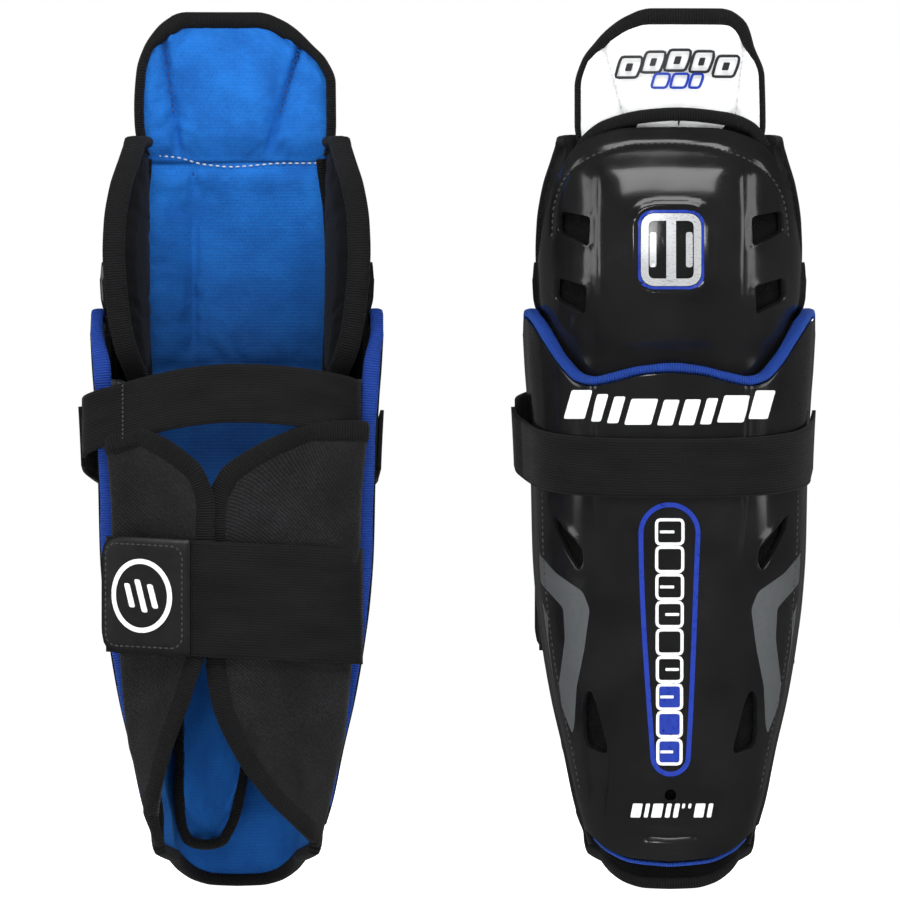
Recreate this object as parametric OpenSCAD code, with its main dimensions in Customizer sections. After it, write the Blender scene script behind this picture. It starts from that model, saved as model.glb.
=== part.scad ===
// A pair of junior hockey shin guards that stand side by side on their ankle rims.
// The right guard shows its front to -Y. The left guard is its mirror image and shows its back to -Y.
// Each guard is modelled round its own leg axis: +Z runs up the leg, -Y is the front of the shin,
// -X is the lateral side, where the straps fasten, and +X is the medial side.

/* [Pair] */
// Distance between the two leg axes
pair_pitch = 199; // [175:1:260]

/* [Hard shells] */
// Wall of the moulded shin shell and knee cap
shell_t = 2.6; // [2:0.1:3]
// Radius of the vent hole low on the shin shell
vent_hole_r = 2.7; // [1.5:0.1:3.5]

/* [Padding] */
// Thickness of the comfort liner
liner_t = 9; // [6:0.5:10]
// Thickness of the calf wraps
wrap_t = 2.6; // [2:0.1:3]
// Thickness of each knee wing
wing_t = 6.5; // [5:0.5:7]
// Thickness of the thigh pad
thigh_t = 10; // [7:0.5:11]

/* [Straps] */
// Width of the elastic strap below the knee
upper_strap_w = 27; // [22:1:28]
// Width of the elastic strap round the calf
lower_strap_w = 53; // [40:1:56]
// Thickness of the elastic
strap_t = 1.6; // [1.2:0.1:2]

/* [Hidden] */
gap = 0.4;              // air between neighbouring layers
bulge = 0.85;           // exponent that squares off the round sections
side_share = 0.78;      // share of a section's half that is the round front, the rest is the side wall
side_flare = 1.5;       // how far the side walls spread towards the back
sides = ["right", "left"];
pieces = [
    "shin_shell", "shell_foam", "shell_binding", "base_liner", "ankle_rim", "shin_liner",
    "shin_liner_binding", "wrap_anchors", "upper_strap_front",
    "knee_cap", "knee_badge", "knee_foam", "knee_liner", "knee_liner_binding",
    "lateral_knee_wing", "medial_knee_wing", "thigh_gusset",
    "thigh_pad", "thigh_binding",
    "lateral_wrap", "lateral_wrap_binding", "medial_wrap", "medial_wrap_binding",
    "lower_strap", "strap_tab", "tab_hook", "tab_emblem",
    "upper_strap_back", "upper_strap_tab"
];

// ---------------------------------------------------------------- profiles along the leg axis
// half-width, depth in front of the section's centre, centre, and back edge of the shin shell
function shin_w(z) = lookup(z, [[0, 34], [12, 35.5], [25, 38.5], [41, 43], [64, 47.7], [87, 53],
    [110, 57], [133, 60], [156, 61.6], [190, 62.4], [224, 64], [240, 65.2], [265, 66.5]]);
function shin_f(z) = lookup(z, [[0, 30], [12, 32], [25, 33.5], [64, 45], [110, 52], [156, 57],
    [200, 61.5], [240, 66.5], [265, 68]]);
function centre_y(z) = lookup(z, [[0, -8], [30, -6], [70, 0], [300, 0]]);
function shin_e(z) = lookup(z, [[0, 1], [30, 2], [50, 3], [80, 6], [115, 9], [150, 12], [208, 15],
    [240, 14], [268, 10]]);
// how far inside the shell's outer face the foam ends
function foam_in(z) = lookup(z, [[0, 4.2], [20, 4.2], [36, 6.5], [200, 6.5], [215, 4.6], [270, 4.6]]);
// W-shaped top edge and bowl-shaped bottom edge of the shin shell, by distance from the middle
function shell_top(x) = lookup(abs(x), [[0, 238], [14, 237], [26, 233], [36, 231], [44, 232],
    [52, 238], [57, 247], [61, 257], [64, 263]]);
function shell_bottom(x) = lookup(abs(x), [[0, 12.8], [20, 14.5], [32, 19], [38, 25], [42, 31]]);
// the comfort liner: front depth, how far its edges drop back, half-width, and middle
function liner_f(z) = lookup(z, [[20, 23.5], [60, 27.5], [110, 37], [150, 43.5], [200, 49.5], [238, 50],
    [290, 54.5], [320, 51], [335, 43.5], [347, 38]]);
function liner_drop(z) = lookup(z, [[20, 8], [60, 8], [110, 8], [150, 9.5], [200, 12.5], [238, 14.5],
    [290, 20], [347, 15]]);
function liner_hw(z) = lookup(z, [[22, 7], [26, 10], [34, 12.5], [60, 15.5], [100, 21], [150, 31],
    [200, 38], [290, 40], [320, 38], [335, 35.5], [347, 37.5]]);
function liner_x(z) = lookup(z, [[20, -13], [70, -9], [150, 0], [347, 0]]);
// the knee cap: half-width, front depth, top edge
function cap_w(z) = lookup(z, [[225, 57], [262, 58.2], [272, 60.2], [290, 60.8], [350, 60.5]]);
function cap_f(z) = lookup(z, [[225, 55.5], [238, 58], [247, 59], [250, 62], [256, 66], [272, 70],
    [290, 72], [310, 70.5], [325, 66], [338, 58.5], [350, 49]]);
function cap_top(x) = lookup(abs(x), [[0, 349.5], [20, 349], [33, 346], [44, 340], [50.5, 330],
    [54.5, 320], [58, 305], [60.5, 288]]);
function cap_bottom(x) = lookup(abs(x), [[0, 226], [40, 226], [60, 234]]);

// ---------------------------------------------------------------- hinge lines
hinge_low = [44, 11, 25];      // foot of the calf wraps' hinge line, medial side
hinge_high = [55, 24, 208];    // head of it
function hinge_x(z) = hinge_low[0] + (hinge_high[0] - hinge_low[0]) * (z - hinge_low[2]) / (hinge_high[2] - hinge_low[2]);
function hinge_y(z) = hinge_low[1] + (hinge_high[1] - hinge_low[1]) * (z - hinge_low[2]) / (hinge_high[2] - hinge_low[2]);
function calf_back(z) = lookup(z, [[20, 27], [60, 32], [115, 38], [208, 42], [250, 42]]);
function lateral_free(z) = lookup(z, [[25, -38], [41, -36], [64, -31], [92, -20.5], [110, -14],
    [128, -11], [174, -10.5], [190, -14], [205, -22]]);
function medial_free(z) = lookup(z, [[25, 36], [32, 29], [46, 15.6], [66, 2], [87, -7], [105, -9.3],
    [180, -9.3], [190, -6], [206, 6]]);

// ---------------------------------------------------------------- straps
function front_strap_z(s) = 193 + 15 * pow(abs(s), 2.2);                 // mid-height, by place round the front
function back_strap_z(a) = lookup(a, [[0, 209], [12, 217], [35, 222], [90, 227], [150, 217], [180, 209]]);

// ---------------------------------------------------------------- geometry helpers
function unit(v) = v / norm(v);
function mix(a, b, t) = a + (b - a) * t;
function span(n, low = 0, high = 1) = [for (i = [0:n]) low + (high - low) * i / n];
function power(v, p) = v <= 0 ? 0 : pow(v, p);

// One point of a C-shaped section: s runs from -1 at one back edge through 0 in front to 1.
function section(s, w, f, e, yc = 0, flare = side_flare) =
    let (a = abs(s), q = min(90, 90 * a / side_share), u = max(0, (a - side_share) / (1 - side_share)))
    [sign(s) * (w * power(sin(q), bulge) + flare * u), yc - f * power(cos(q), bulge) + e * u];

// Closed solid between two equal grids. Rows go up and columns run counter-clockwise seen from above.
module sheet(outer, inner) {
    rows = len(outer);
    cols = len(outer[0]);
    n = rows * cols;
    points = concat([for (r = outer) each r], [for (r = inner) each r]);
    faces = [
        for (r = [0:rows - 2]) for (c = [0:cols - 2])
            let (a = r * cols + c, b = a + 1, d = a + cols, e = d + 1)
            each [[a, d, e], [a, e, b], [a + n, e + n, d + n], [a + n, b + n, e + n]],
        for (c = [0:cols - 2])
            let (a = c, b = c + 1, d = (rows - 1) * cols + c, e = d + 1)
            each [[a, b, b + n], [a, b + n, a + n], [e, d, d + n], [e, d + n, e + n]],
        for (r = [0:rows - 2])
            let (a = r * cols, d = a + cols, b = a + cols - 1, e = b + cols)
            each [[d, a, a + n], [d, a + n, d + n], [b, e, e + n], [b, e + n, b + n]]
    ];
    polyhedron(points, faces, convexity = 8);
}

// Round or oval cord along a path. across is the half-size along the direction nearest to towards.
module cord(path, across, other, towards = [0, 1, 0], sides = 6) {
    last = len(path) - 1;
    rings = [for (i = [0:last])
        let (t = unit(path[min(i + 1, last)] - path[max(i - 1, 0)]),
             b = unit(towards - t * (towards * t)), m = cross(t, b))
        [for (k = [0:sides - 1])
            path[i] + across * cos(360 * k / sides) * b + other * sin(360 * k / sides) * m]];
    faces = [
        for (i = [0:last - 1]) for (k = [0:sides - 1])
            let (a = i * sides + k, b = i * sides + (k + 1) % sides, c = a + sides, d = b + sides)
            each [[a, d, b], [a, c, d]],
        [for (k = [0:sides - 1]) k],
        [for (k = [0:sides - 1]) last * sides + sides - 1 - k]
    ];
    polyhedron([for (r = rings) each r], faces, convexity = 6);
}

// ---------------------------------------------------------------- shin: hard shell and its lining
// A point of the shin's wall: s round the section, v from the bottom edge to the top edge,
// inset into the wall, and grow past the shell's edges.
function shin_point(s, v, inset, grow = 0) =
    let (x0 = section(s, 64.5, 60, 10)[0],
         z = mix(shell_bottom(x0 * 0.62) - grow, shell_top(x0) + grow - (abs(s) > 0.97 ? 8 : 0), v),
         p = section(s, shin_w(z) - inset, shin_f(z) - inset, shin_e(z) + grow, centre_y(z)))
    [p[0], p[1], z];
function shin_grid(cols, rows, inset, grow = 0) =
    [for (v = span(rows)) [for (s = span(cols, -1, 1)) shin_point(s, v, inset, grow)]];

module slot_prism(outline) {
    rotate([90, 0, 0]) linear_extrude(90) polygon(outline);
}

module mirrored_x() {
    children();
    mirror([1, 0, 0]) children();
}

module shin_shell() {
    color([0.03, 0.03, 0.035]) difference() {
        sheet(shin_grid(24, 11, 0), shin_grid(24, 11, shell_t));
        mirrored_x() {
            slot_prism([[40, 147], [43, 146.5], [53, 168], [54, 173], [51, 171], [40, 155]]);
            slot_prism([[27.5, 65], [31, 64], [38.5, 66], [39.5, 80], [39, 92], [36, 93], [34, 92]]);
        }
        translate([0, 0, 43]) rotate([90, 0, 0]) cylinder(r = vent_hole_r, h = 90, $fn = 24);
    }
}

module shell_foam() {
    inner = [for (v = span(9)) [for (s = span(18, -1, 1))
        let (z = shin_point(s, v, 0, 2)[2]) shin_point(s, v, foam_in(z), 2)]];
    color([0.82, 0.83, 0.83]) sheet(shin_grid(18, 9, shell_t + gap, 2), inner);
}

module shell_binding() {
    r = 2.3;
    inset = 3.7;
    lift = r + 2 * gap;
    top = [for (s = span(26, -1, 1)) shin_point(s, 1, inset, 2 + lift)];
    back = function (side) [for (v = span(9, 0.06, 0.95))
        let (p = shin_point(side, v, inset, 2)) [p[0], p[1] + lift, p[2]]];
    medial_back = back(1);
    path = concat(back(-1), top, [for (i = [9:-1:0]) medial_back[i]]);
    color([0.05, 0.14, 0.5]) cord(path, r, r, [0, 0.3, 1]);
}

// ---------------------------------------------------------------- soft base round the ankle
base_flare = 2;
function base_inset(z) = foam_in(z) + 3.5 * gap;
function base_point(s, z, inset) =
    let (p = section(s, shin_w(z) - inset, shin_f(z) - inset, 8 - centre_y(z), centre_y(z), base_flare))
    [p[0], p[1], z];

module base_liner() {
    heights = [5.5, 14, 20, 28, 36, 45, 56, 70, 85, 100];
    color([0.02, 0.02, 0.022]) sheet(
        [for (z = heights) [for (s = span(16, -0.97, 0.97)) base_point(s, z, base_inset(z))]],
        [for (z = heights) [for (s = span(16, -0.97, 0.97)) base_point(s, z, base_inset(z) + 2.2)]]);
}

module ankle_rim() {
    wall = function (inset, direction) [for (s = span(24, -0.95 * direction, 0.95 * direction))
        let (p = base_point(s, 3, inset)) [p[0], p[1]]];
    color([0.02, 0.02, 0.022]) linear_extrude(5) polygon(concat(wall(3.6, 1), wall(7.8, -1)));
}

// ---------------------------------------------------------------- comfort liner, in two lengths
function liner_point(s, z, inset) =
    [liner_x(z) + s * (liner_hw(z) - 0.1 * inset), -(liner_f(z) - inset - liner_drop(z) * pow(abs(s), 2.2)), z];
module liner_pad(heights) {
    color([0.05, 0.3, 0.72]) sheet(
        [for (z = heights) [for (s = span(9, -1, 1)) liner_point(s, z, 0)]],
        [for (z = heights) [for (s = span(9, -1, 1)) liner_point(s, z, liner_t)]]);
}
module liner_edges(heights) {
    color([0.02, 0.02, 0.022]) for (side = [-1, 1])
        cord([for (z = heights) let (p = liner_point(side, z, liner_t / 2)) [p[0] + side * (2.2 + gap), p[1], z]],
            4.4, 2.2);
}
shin_liner_heights = [22, 25, 30, 45, 70, 100, 130, 160, 190, 215, 234];
knee_liner_heights = [241, 260, 280, 300, 318, 332, 345];
module shin_liner() liner_pad(shin_liner_heights);
module shin_liner_binding() liner_edges(shin_liner_heights);
module knee_liner() liner_pad(knee_liner_heights);
module knee_liner_binding() liner_edges(knee_liner_heights);

// ---------------------------------------------------------------- calf wraps
// Fabric strips that tie the calf wraps to the inside of the shell, up to the hinge line.
module wrap_anchors() {
    heights = [104, 130, 160, 190];
    strip = function (out) [for (z = heights) [for (u = span(3))
        [hinge_x(z) - 4 + out + 3.2 * u, mix(-4, hinge_y(z) - 2.2, u), z]]];
    color([0.02, 0.02, 0.022]) mirrored_x() sheet(strip(0), strip(-1.8));
}

// Back surface of a calf wrap: a is the angle from the medial hinge line (0) to the lateral one (180).
function calf_point(a, z, out) =
    [(hinge_x(z) + out) * cos(a), hinge_y(z) + (calf_back(z) - hinge_y(z) + out) * power(sin(a), 0.9), z];
// Angles at which each wrap ends, short of its free edge by inset
function medial_end(z, inset) = acos((medial_free(z) + inset) / hinge_x(z));
function lateral_end(z, inset) = acos((lateral_free(z) - inset) / hinge_x(z));
// Top edge of each wrap, by share of the way from its hinge line to its free edge
function medial_top(u) = lookup(u, [[0, 190], [0.17, 193], [0.3, 205], [0.6, 208], [0.8, 204], [0.92, 195], [1, 180]]);
function lateral_top(u) = lookup(u, [[0, 190], [0.38, 193], [0.5, 203], [0.75, 205], [0.9, 198], [1, 180]]);
edge_r = 2.2;           // half-width of a wrap's bound edge
edge_in = 2 * edge_r + 4 * gap;
top_in = edge_in + 6 * gap;
wrap_foot = 27;

function medial_wrap_point(u, z, inset, out) = calf_point(u * medial_end(z, inset), z, out);
function lateral_wrap_point(u, z, inset, out) = calf_point(180 - u * (180 - lateral_end(z, inset)), z, out);

module medial_wrap() {
    layer = function (out) [for (v = span(10)) [for (u = span(9))
        medial_wrap_point(u, mix(wrap_foot, medial_top(u) - top_in, v), edge_in, out)]];
    color([0.02, 0.02, 0.022]) sheet(layer(wrap_t / 2), layer(-wrap_t / 2));
}

module lateral_wrap() {
    layer = function (out) [for (v = span(10)) [for (u = span(7, 1, 0))
        lateral_wrap_point(u, mix(wrap_foot, lateral_top(u) - top_in, v), edge_in, out)]];
    color([0.02, 0.02, 0.022]) sheet(layer(wrap_t / 2), layer(-wrap_t / 2));
}

module medial_wrap_binding() {
    top = [for (u = [0.02, 0.17, 0.3, 0.45, 0.6, 0.8, 0.92])
        medial_wrap_point(u, medial_top(u) - edge_r, edge_r, 0)];
    free = [for (z = [176, 160, 140, 118, 100, 86, 74, 62, 50, 40, 32, 27])
        medial_wrap_point(1, z, edge_r, 0)];
    color([0.02, 0.02, 0.022]) cord(concat(top, free), 1.6, edge_r);
}

module lateral_wrap_binding() {
    top = [for (u = [0.02, 0.14, 0.26, 0.38, 0.44, 0.5, 0.75, 0.9])
        lateral_wrap_point(u, lateral_top(u) - edge_r, edge_r, 0)];
    free = [for (z = [176, 160, 140, 118, 100, 86, 74, 62, 50, 40, 27])
        lateral_wrap_point(1, z, edge_r, 0)];
    color([0.02, 0.02, 0.022]) cord(concat(top, free), 1.6, edge_r);
}

// ---------------------------------------------------------------- elastic straps
lower_strap_mid = 132.5;
lower_strap_out = wrap_t / 2 + 2 * gap + strap_t / 2;    // strap's middle, outside the wraps' middle
medial_reach = 60;      // half-widths of the lower strap's loop
lateral_reach = 66;
upper_reach = 66;       // half-width of the upper strap's loop
strap_reach = 71;       // how far its squared end stands out on the lateral side

function lower_strap_point(a, dz, out) =
    let (z = lower_strap_mid + dz, back = calf_back(z) + lower_strap_out + out)
    [((a < 90 ? medial_reach : lateral_reach) + out) * cos(a), 20 + (back - 20) * power(sin(a), 0.9), z];
module lower_band(from, to, low, high, half_w, steps) {
    layer = function (out) [for (dz = span(2, -half_w, half_w)) [for (a = span(steps, from, to))
        lower_strap_point(a, dz, out)]];
    sheet(layer(high), layer(low));
}
tab_start = 110;
tab_end = 160;
module lower_strap() {
    color([0.03, 0.03, 0.03])
        lower_band(25, tab_start - 0.5, -strap_t / 2, strap_t / 2, lower_strap_w / 2, 12);
}
module strap_tab() {
    color([0.04, 0.04, 0.045]) lower_band(tab_start, tab_end, 0.2, 2.2, lower_strap_w / 2, 8);
}
module tab_hook() {
    color([0.02, 0.02, 0.02]) lower_band(tab_start + 4, tab_end - 4, -0.8, 0, lower_strap_w / 2 - 4, 6);
}
module tab_emblem() {
    half_h = 19;
    half_a = 19;
    layer = function (out) [for (dz = span(8, -half_h, half_h))
        [for (t = span(6, -1, 1))
            lower_strap_point(135.5 + t * half_a * sqrt(1.04 - pow(dz / half_h, 2)), dz, out)]];
    color([0.85, 0.85, 0.85]) sheet(layer(3.1), layer(2.5));
}

module upper_strap_front() {
    layer = function (out) [for (dz = span(2, -upper_strap_w / 2, upper_strap_w / 2)) [for (s = span(20, -1, 1))
        let (z = front_strap_z(s) + dz, p = section(s, shin_w(z) + out, shin_f(z) + out, 14, centre_y(z)))
        [p[0], p[1], z]]];
    color([0.03, 0.03, 0.03]) sheet(layer(0.7 + strap_t), layer(0.7));
}
module upper_strap_back() {
    layer = function (out) [for (dz = span(2, -upper_strap_w / 2, upper_strap_w / 2)) [for (a = span(20, 4, 176))
        [(upper_reach + out) * cos(a), 17 + (26.5 + out) * power(sin(a), 0.9), back_strap_z(a) + dz]]];
    color([0.03, 0.03, 0.03]) sheet(layer(strap_t / 2), layer(-strap_t / 2));
}
module upper_strap_tab() {
    depth = 2.2;
    color([0.03, 0.03, 0.03])
        translate([-strap_reach, 16.2, back_strap_z(180) - upper_strap_w / 2])
            cube([strap_reach - upper_reach - strap_t, depth, upper_strap_w]);
}

// ---------------------------------------------------------------- knee cap and its lining
function cap_point(s, v, inset, low = 0, drop = 0) =
    let (x0 = section(s, 60.5, 70, 4, 0, 0.3)[0],
         z = mix(cap_bottom(x0) + low, cap_top(x0) - drop - (abs(s) > 0.97 ? 8 : 0), v),
         p = section(s, cap_w(z) - inset, cap_f(z) - inset, 4, 0, 0.3))
    [p[0], p[1], z];

module knee_cap() {
    layer = function (inset) [for (v = span(14)) [for (s = span(24, -1, 1)) cap_point(s, v, inset)]];
    color([0.03, 0.03, 0.035]) difference() {
        sheet(layer(0), layer(shell_t));
        mirrored_x() {
            slot_prism([[37, 301], [50.5, 309], [51, 302.5], [37, 294]]);
            slot_prism([[38, 273], [51.5, 278], [51, 269.5], [38, 261]]);
        }
    }
}

module knee_foam() {
    layer = function (inset) [for (v = span(9)) [for (s = span(12, -0.56, 0.56)) cap_point(s, v, inset, 26, 4)]];
    color([0.05, 0.05, 0.05]) sheet(layer(shell_t + gap), layer(8));
}

// Plate on the front of the cap: a rounded upright frame
module knee_badge() {
    half_w = 15.5;
    half_h = 18.5;
    depth = 1.6;
    corner = 8.5;
    color([0.75, 0.76, 0.78])
        translate([0, -cap_f(290) - 0.3, 293]) rotate([90, 0, 0]) linear_extrude(depth)
            union() {
                square([2 * half_w, 2 * (half_h - corner)], center = true);
                square([2 * (half_w - corner), 2 * half_h], center = true);
                for (x = [-1, 1]) for (z = [-1, 1])
                    translate([x * (half_w - corner), z * (half_h - corner)]) circle(r = corner, $fn = 32);
            }
}

// Soft wings beside the knee: u runs from the liner's edge (0) to the bound back edge (1)
function wing_out(z) = lookup(z, [[232, 48], [250, 55], [266, 59], [293, 61.5], [320, 59], [336, 50], [343, 47]]);
function wing_back(z) = lookup(z, [[232, 6], [250, 19], [290, 24], [320, 15], [336, 0], [343, -10]]);
function wing_front(z) = lookup(z, [[232, -20], [290, -27], [320, -24], [343, -20]]);
module knee_wing() {
    heights = [233, 241, 255, 274, 293, 312, 328, 338, 343];
    layer = function (inset) [for (z = heights) [for (u = span(5))
        [mix(50, wing_out(z), u * u) - (z > 335 ? 3 : 0) * (1 - u) - inset, mix(wing_front(z), wing_back(z), u), z]]];
    color([0.04, 0.04, 0.045]) sheet(layer(0), layer(wing_t));
}
module medial_knee_wing() knee_wing();
module lateral_knee_wing() mirror([1, 0, 0]) knee_wing();

// Bound fabric edge that stands over the cap's top rim, in front of the thigh pad
module thigh_gusset() {
    path = [for (x = [-42, -36, -28, -18, -6, 6, 18, 28, 36, 42])
        let (q = asin(pow(abs(x) / 60.5, 1 / bulge)))
        [x, -(cap_f(cap_top(x)) - 1) * power(cos(q), bulge) + 0.6, cap_top(x) + 2.6]];
    color([0.02, 0.02, 0.022]) cord(path, 2.3, 2.2, [0, 0, 1]);
}

// ---------------------------------------------------------------- thigh pad
// Edges of the thigh pad; it leans to +X where lean is 1 and to -X where lean is -1
function thigh_near(z) = lookup(z, [[350, 41], [368, 41], [379, 38], [388, 31], [395, 21], [401, 8]]);
function thigh_far(z) = lookup(z, [[350, 41], [373, 40.5], [384, 36.5], [395, 31], [401, 23]]);
thigh_heights = [352.5, 360, 370, 379, 387, 393, 396, 398.5];
thigh_y = 45;
function thigh_point(t, z, inset, lean) =
    let (left = lean > 0 ? thigh_near(z) : thigh_far(z), right = lean > 0 ? thigh_far(z) : thigh_near(z),
         x = mix(-left, right, (t + 1) / 2))
    [x, -(thigh_y - inset - 9 * pow(abs(x) / 42, 2)), z];
module thigh_pad(lean) {
    layer = function (inset) [for (z = thigh_heights) [for (t = span(10, -1, 1)) thigh_point(t, z, inset, lean)]];
    color([0.92, 0.92, 0.9]) sheet(layer(0), layer(thigh_t));
}
module thigh_binding(lean) {
    out = 3;
    mid = thigh_t / 2;
    last = len(thigh_heights) - 1;
    outline = concat([for (z = thigh_heights) thigh_point(-1, z, mid, lean)],
        [for (t = span(3, -0.5, 0.5)) thigh_point(t, thigh_heights[last], mid, lean)],
        [for (i = [last:-1:0]) thigh_point(1, thigh_heights[i], mid, lean)]);
    end = len(outline) - 1;
    path = [for (i = [0:end])
        let (along = unit(outline[min(i + 1, end)] - outline[max(i - 1, 0)]))
        outline[i] + out * unit([-along[2], 0, along[0]])];
    color([0.02, 0.02, 0.022]) cord(path, 5, 2, [0, 1, 0]);
}

// ---------------------------------------------------------------- the pair
pair_shift = (strap_reach - shin_w(265) - side_flare) / 2;     // centres the pair's box on the origin
module place(side) {
    x = (side == "right" ? 1 : -1) * pair_pitch / 2 + pair_shift;
    translate([x, 0, 0]) mirror([0, side == "right" ? 0 : 1, 0]) children();
}

for (side = sides) {
    lean = side == "right" ? 1 : -1;
    place(side) shin_shell();
    place(side) shell_foam();
    place(side) shell_binding();
    place(side) base_liner();
    place(side) ankle_rim();
    place(side) shin_liner();
    place(side) shin_liner_binding();
    place(side) wrap_anchors();
    place(side) upper_strap_front();
    place(side) knee_cap();
    place(side) knee_badge();
    place(side) knee_foam();
    place(side) knee_liner();
    place(side) knee_liner_binding();
    place(side) lateral_knee_wing();
    place(side) medial_knee_wing();
    place(side) thigh_gusset();
    place(side) thigh_pad(lean);
    place(side) thigh_binding(lean);
    place(side) lateral_wrap();
    place(side) lateral_wrap_binding();
    place(side) medial_wrap();
    place(side) medial_wrap_binding();
    place(side) lower_strap();
    place(side) strap_tab();
    place(side) tab_hook();
    place(side) tab_emblem();
    place(side) upper_strap_back();
    place(side) upper_strap_tab();
}
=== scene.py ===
"""A pair of junior hockey shin guards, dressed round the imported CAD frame.

Each guard is shaped in millimetres round its own leg axis, as in the CAD source: +z up the leg, -y the
front of the shin, -x the lateral side. The right guard faces -Y. The left one is mirrored front to back.
"""
import math

import bmesh
import bpy
import numpy as np
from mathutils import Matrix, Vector


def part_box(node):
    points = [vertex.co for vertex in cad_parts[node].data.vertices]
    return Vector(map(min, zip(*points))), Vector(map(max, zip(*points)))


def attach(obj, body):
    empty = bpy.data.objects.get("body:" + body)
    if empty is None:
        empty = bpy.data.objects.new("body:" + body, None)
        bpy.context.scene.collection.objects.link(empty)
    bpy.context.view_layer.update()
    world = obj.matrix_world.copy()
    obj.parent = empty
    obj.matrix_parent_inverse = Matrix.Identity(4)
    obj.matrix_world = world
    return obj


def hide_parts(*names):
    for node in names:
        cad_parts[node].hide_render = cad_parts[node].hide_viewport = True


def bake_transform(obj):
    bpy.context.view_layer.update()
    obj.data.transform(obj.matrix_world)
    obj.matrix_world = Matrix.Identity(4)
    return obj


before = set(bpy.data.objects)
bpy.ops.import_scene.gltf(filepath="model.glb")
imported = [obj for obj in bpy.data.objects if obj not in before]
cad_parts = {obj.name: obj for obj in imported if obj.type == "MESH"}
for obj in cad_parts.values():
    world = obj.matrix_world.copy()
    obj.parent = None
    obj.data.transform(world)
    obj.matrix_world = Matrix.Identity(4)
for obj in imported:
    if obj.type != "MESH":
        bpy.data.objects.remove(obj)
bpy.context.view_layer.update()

MM = 0.001
SIDEWAYS, TO_LEG, UP = np.eye(3)     # directions on a guard
SIDES = ("right", "left")
FACING = {"right": 1, "left": -1}
LEAN = {"right": 1, "left": -1}      # which way each thigh pad leans, along x


def middle_x(node):
    low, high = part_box(node)
    return (low.x + high.x) / 2


AXIS_X = {side: middle_x(f"{side}_shin_shell") for side in SIDES}


# ------------------------------------------------------------------ curves and sections
def curve(*points):
    """Smooth function through (place, value) points, level beyond its ends."""
    x, y = np.array(points, float).T
    slope = np.diff(y) / np.diff(x)
    tangent = np.zeros(len(x))
    both = slope[:-1] * slope[1:]
    tangent[1:-1] = np.where(both > 0, 2 * both / np.where(both > 0, slope[:-1] + slope[1:], 1), 0)
    tangent[0], tangent[-1] = slope[0], slope[-1]

    def at(value):
        v = np.clip(np.asarray(value, float), x[0], x[-1])
        i = np.clip(np.searchsorted(x, v) - 1, 0, len(x) - 2)
        h = x[i + 1] - x[i]
        t = (v - x[i]) / h
        return ((1 + 2 * t) * (1 - t) ** 2 * y[i] + t * (1 - t) ** 2 * h * tangent[i]
                + t * t * (3 - 2 * t) * y[i + 1] - t * t * (1 - t) * h * tangent[i + 1])
    return at


def smooth(value, low, high):
    """0 below low, 1 above high, smooth between."""
    t = np.clip((np.asarray(value, float) - low) / (high - low), 0, 1)
    return t * t * (3 - 2 * t)


def mix(a, b, t):
    return a + (b - a) * t


BULGE = 0.85
FRONT_SHARE = 0.78
FLARE = 1.5


def section(s, w, f, e, yc=0, flare=FLARE):
    """Plan of a C-shaped wall: x and y at s, from -1 at one back edge through 0 in front to 1."""
    a = np.abs(s)
    q = np.minimum(1, a / FRONT_SHARE) * math.pi / 2
    u = np.clip((a - FRONT_SHARE) / (1 - FRONT_SHARE), 0, None)
    x = np.sign(s) * (w * np.sin(q) ** BULGE + flare * u)
    y = yc - f * np.clip(np.cos(q), 0, 1) ** BULGE + e * u
    return x, y


def plan_normal(x, y, w, f, yc=0):
    """Outward normal in plan of the round front at (x, y); straight sideways behind it."""
    p = 2 / BULGE - 1
    nx = np.sign(x) * np.clip(np.abs(x) / w, 0, 1.05) ** p / w
    ny = np.where(y < yc, -(np.clip((yc - y) / f, 0, 1.05) ** p) / f, 0)
    length = np.hypot(nx, ny) + 1e-12
    return nx / length, ny / length


def front_y(x, w, f, yc):
    """y of the round front above x."""
    sine = np.clip(np.abs(x) / w, 0, 0.9999) ** (1 / BULGE)
    return yc - f * np.sqrt(1 - sine ** 2) ** BULGE


# shin shell
shin_w = curve((0, 34), (12, 35.5), (25, 38.5), (41, 43), (64, 47.7), (87, 53), (110, 57), (133, 60),
               (156, 61.6), (190, 62.4), (224, 64), (240, 65.2), (265, 66.5))
shin_f = curve((0, 30), (12, 32), (25, 33.5), (64, 45), (110, 52), (156, 57), (200, 61.5), (240, 66.5),
               (265, 68))
centre_y = curve((0, -8), (30, -6), (70, 0), (300, 0))
shin_e = curve((0, 1), (30, 2), (50, 3), (80, 6), (115, 9), (150, 12), (208, 15), (240, 14), (268, 10))
shell_top = curve((0, 236.8), (14, 235.4), (26, 232.4), (36, 230.6), (43, 232), (51, 240), (57, 250),
                  (61, 257), (64.5, 262))
shell_bottom = curve((0, 12.8), (20, 14.5), (32, 19), (38, 25), (42, 31))
panel_hw = curve((30, 29.5), (38, 28.6), (60, 26.5), (92, 25.5), (140, 29.5), (180, 33), (240, 35))
# knee cap
cap_w = curve((225, 57), (262, 58.2), (272, 60.2), (290, 60.8), (350, 60.5))
cap_f = curve((225, 55.5), (238, 58), (247, 59.5), (256, 65), (272, 70), (290, 72), (310, 70.5), (325, 66),
              (338, 58.5), (350, 49))
cap_top = curve((0, 349.5), (20, 349), (33, 346), (44, 340), (50.5, 330), (54.5, 320), (58, 305),
                (60.5, 288))
cap_bottom = curve((0, 226), (40, 226), (60, 234))
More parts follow.
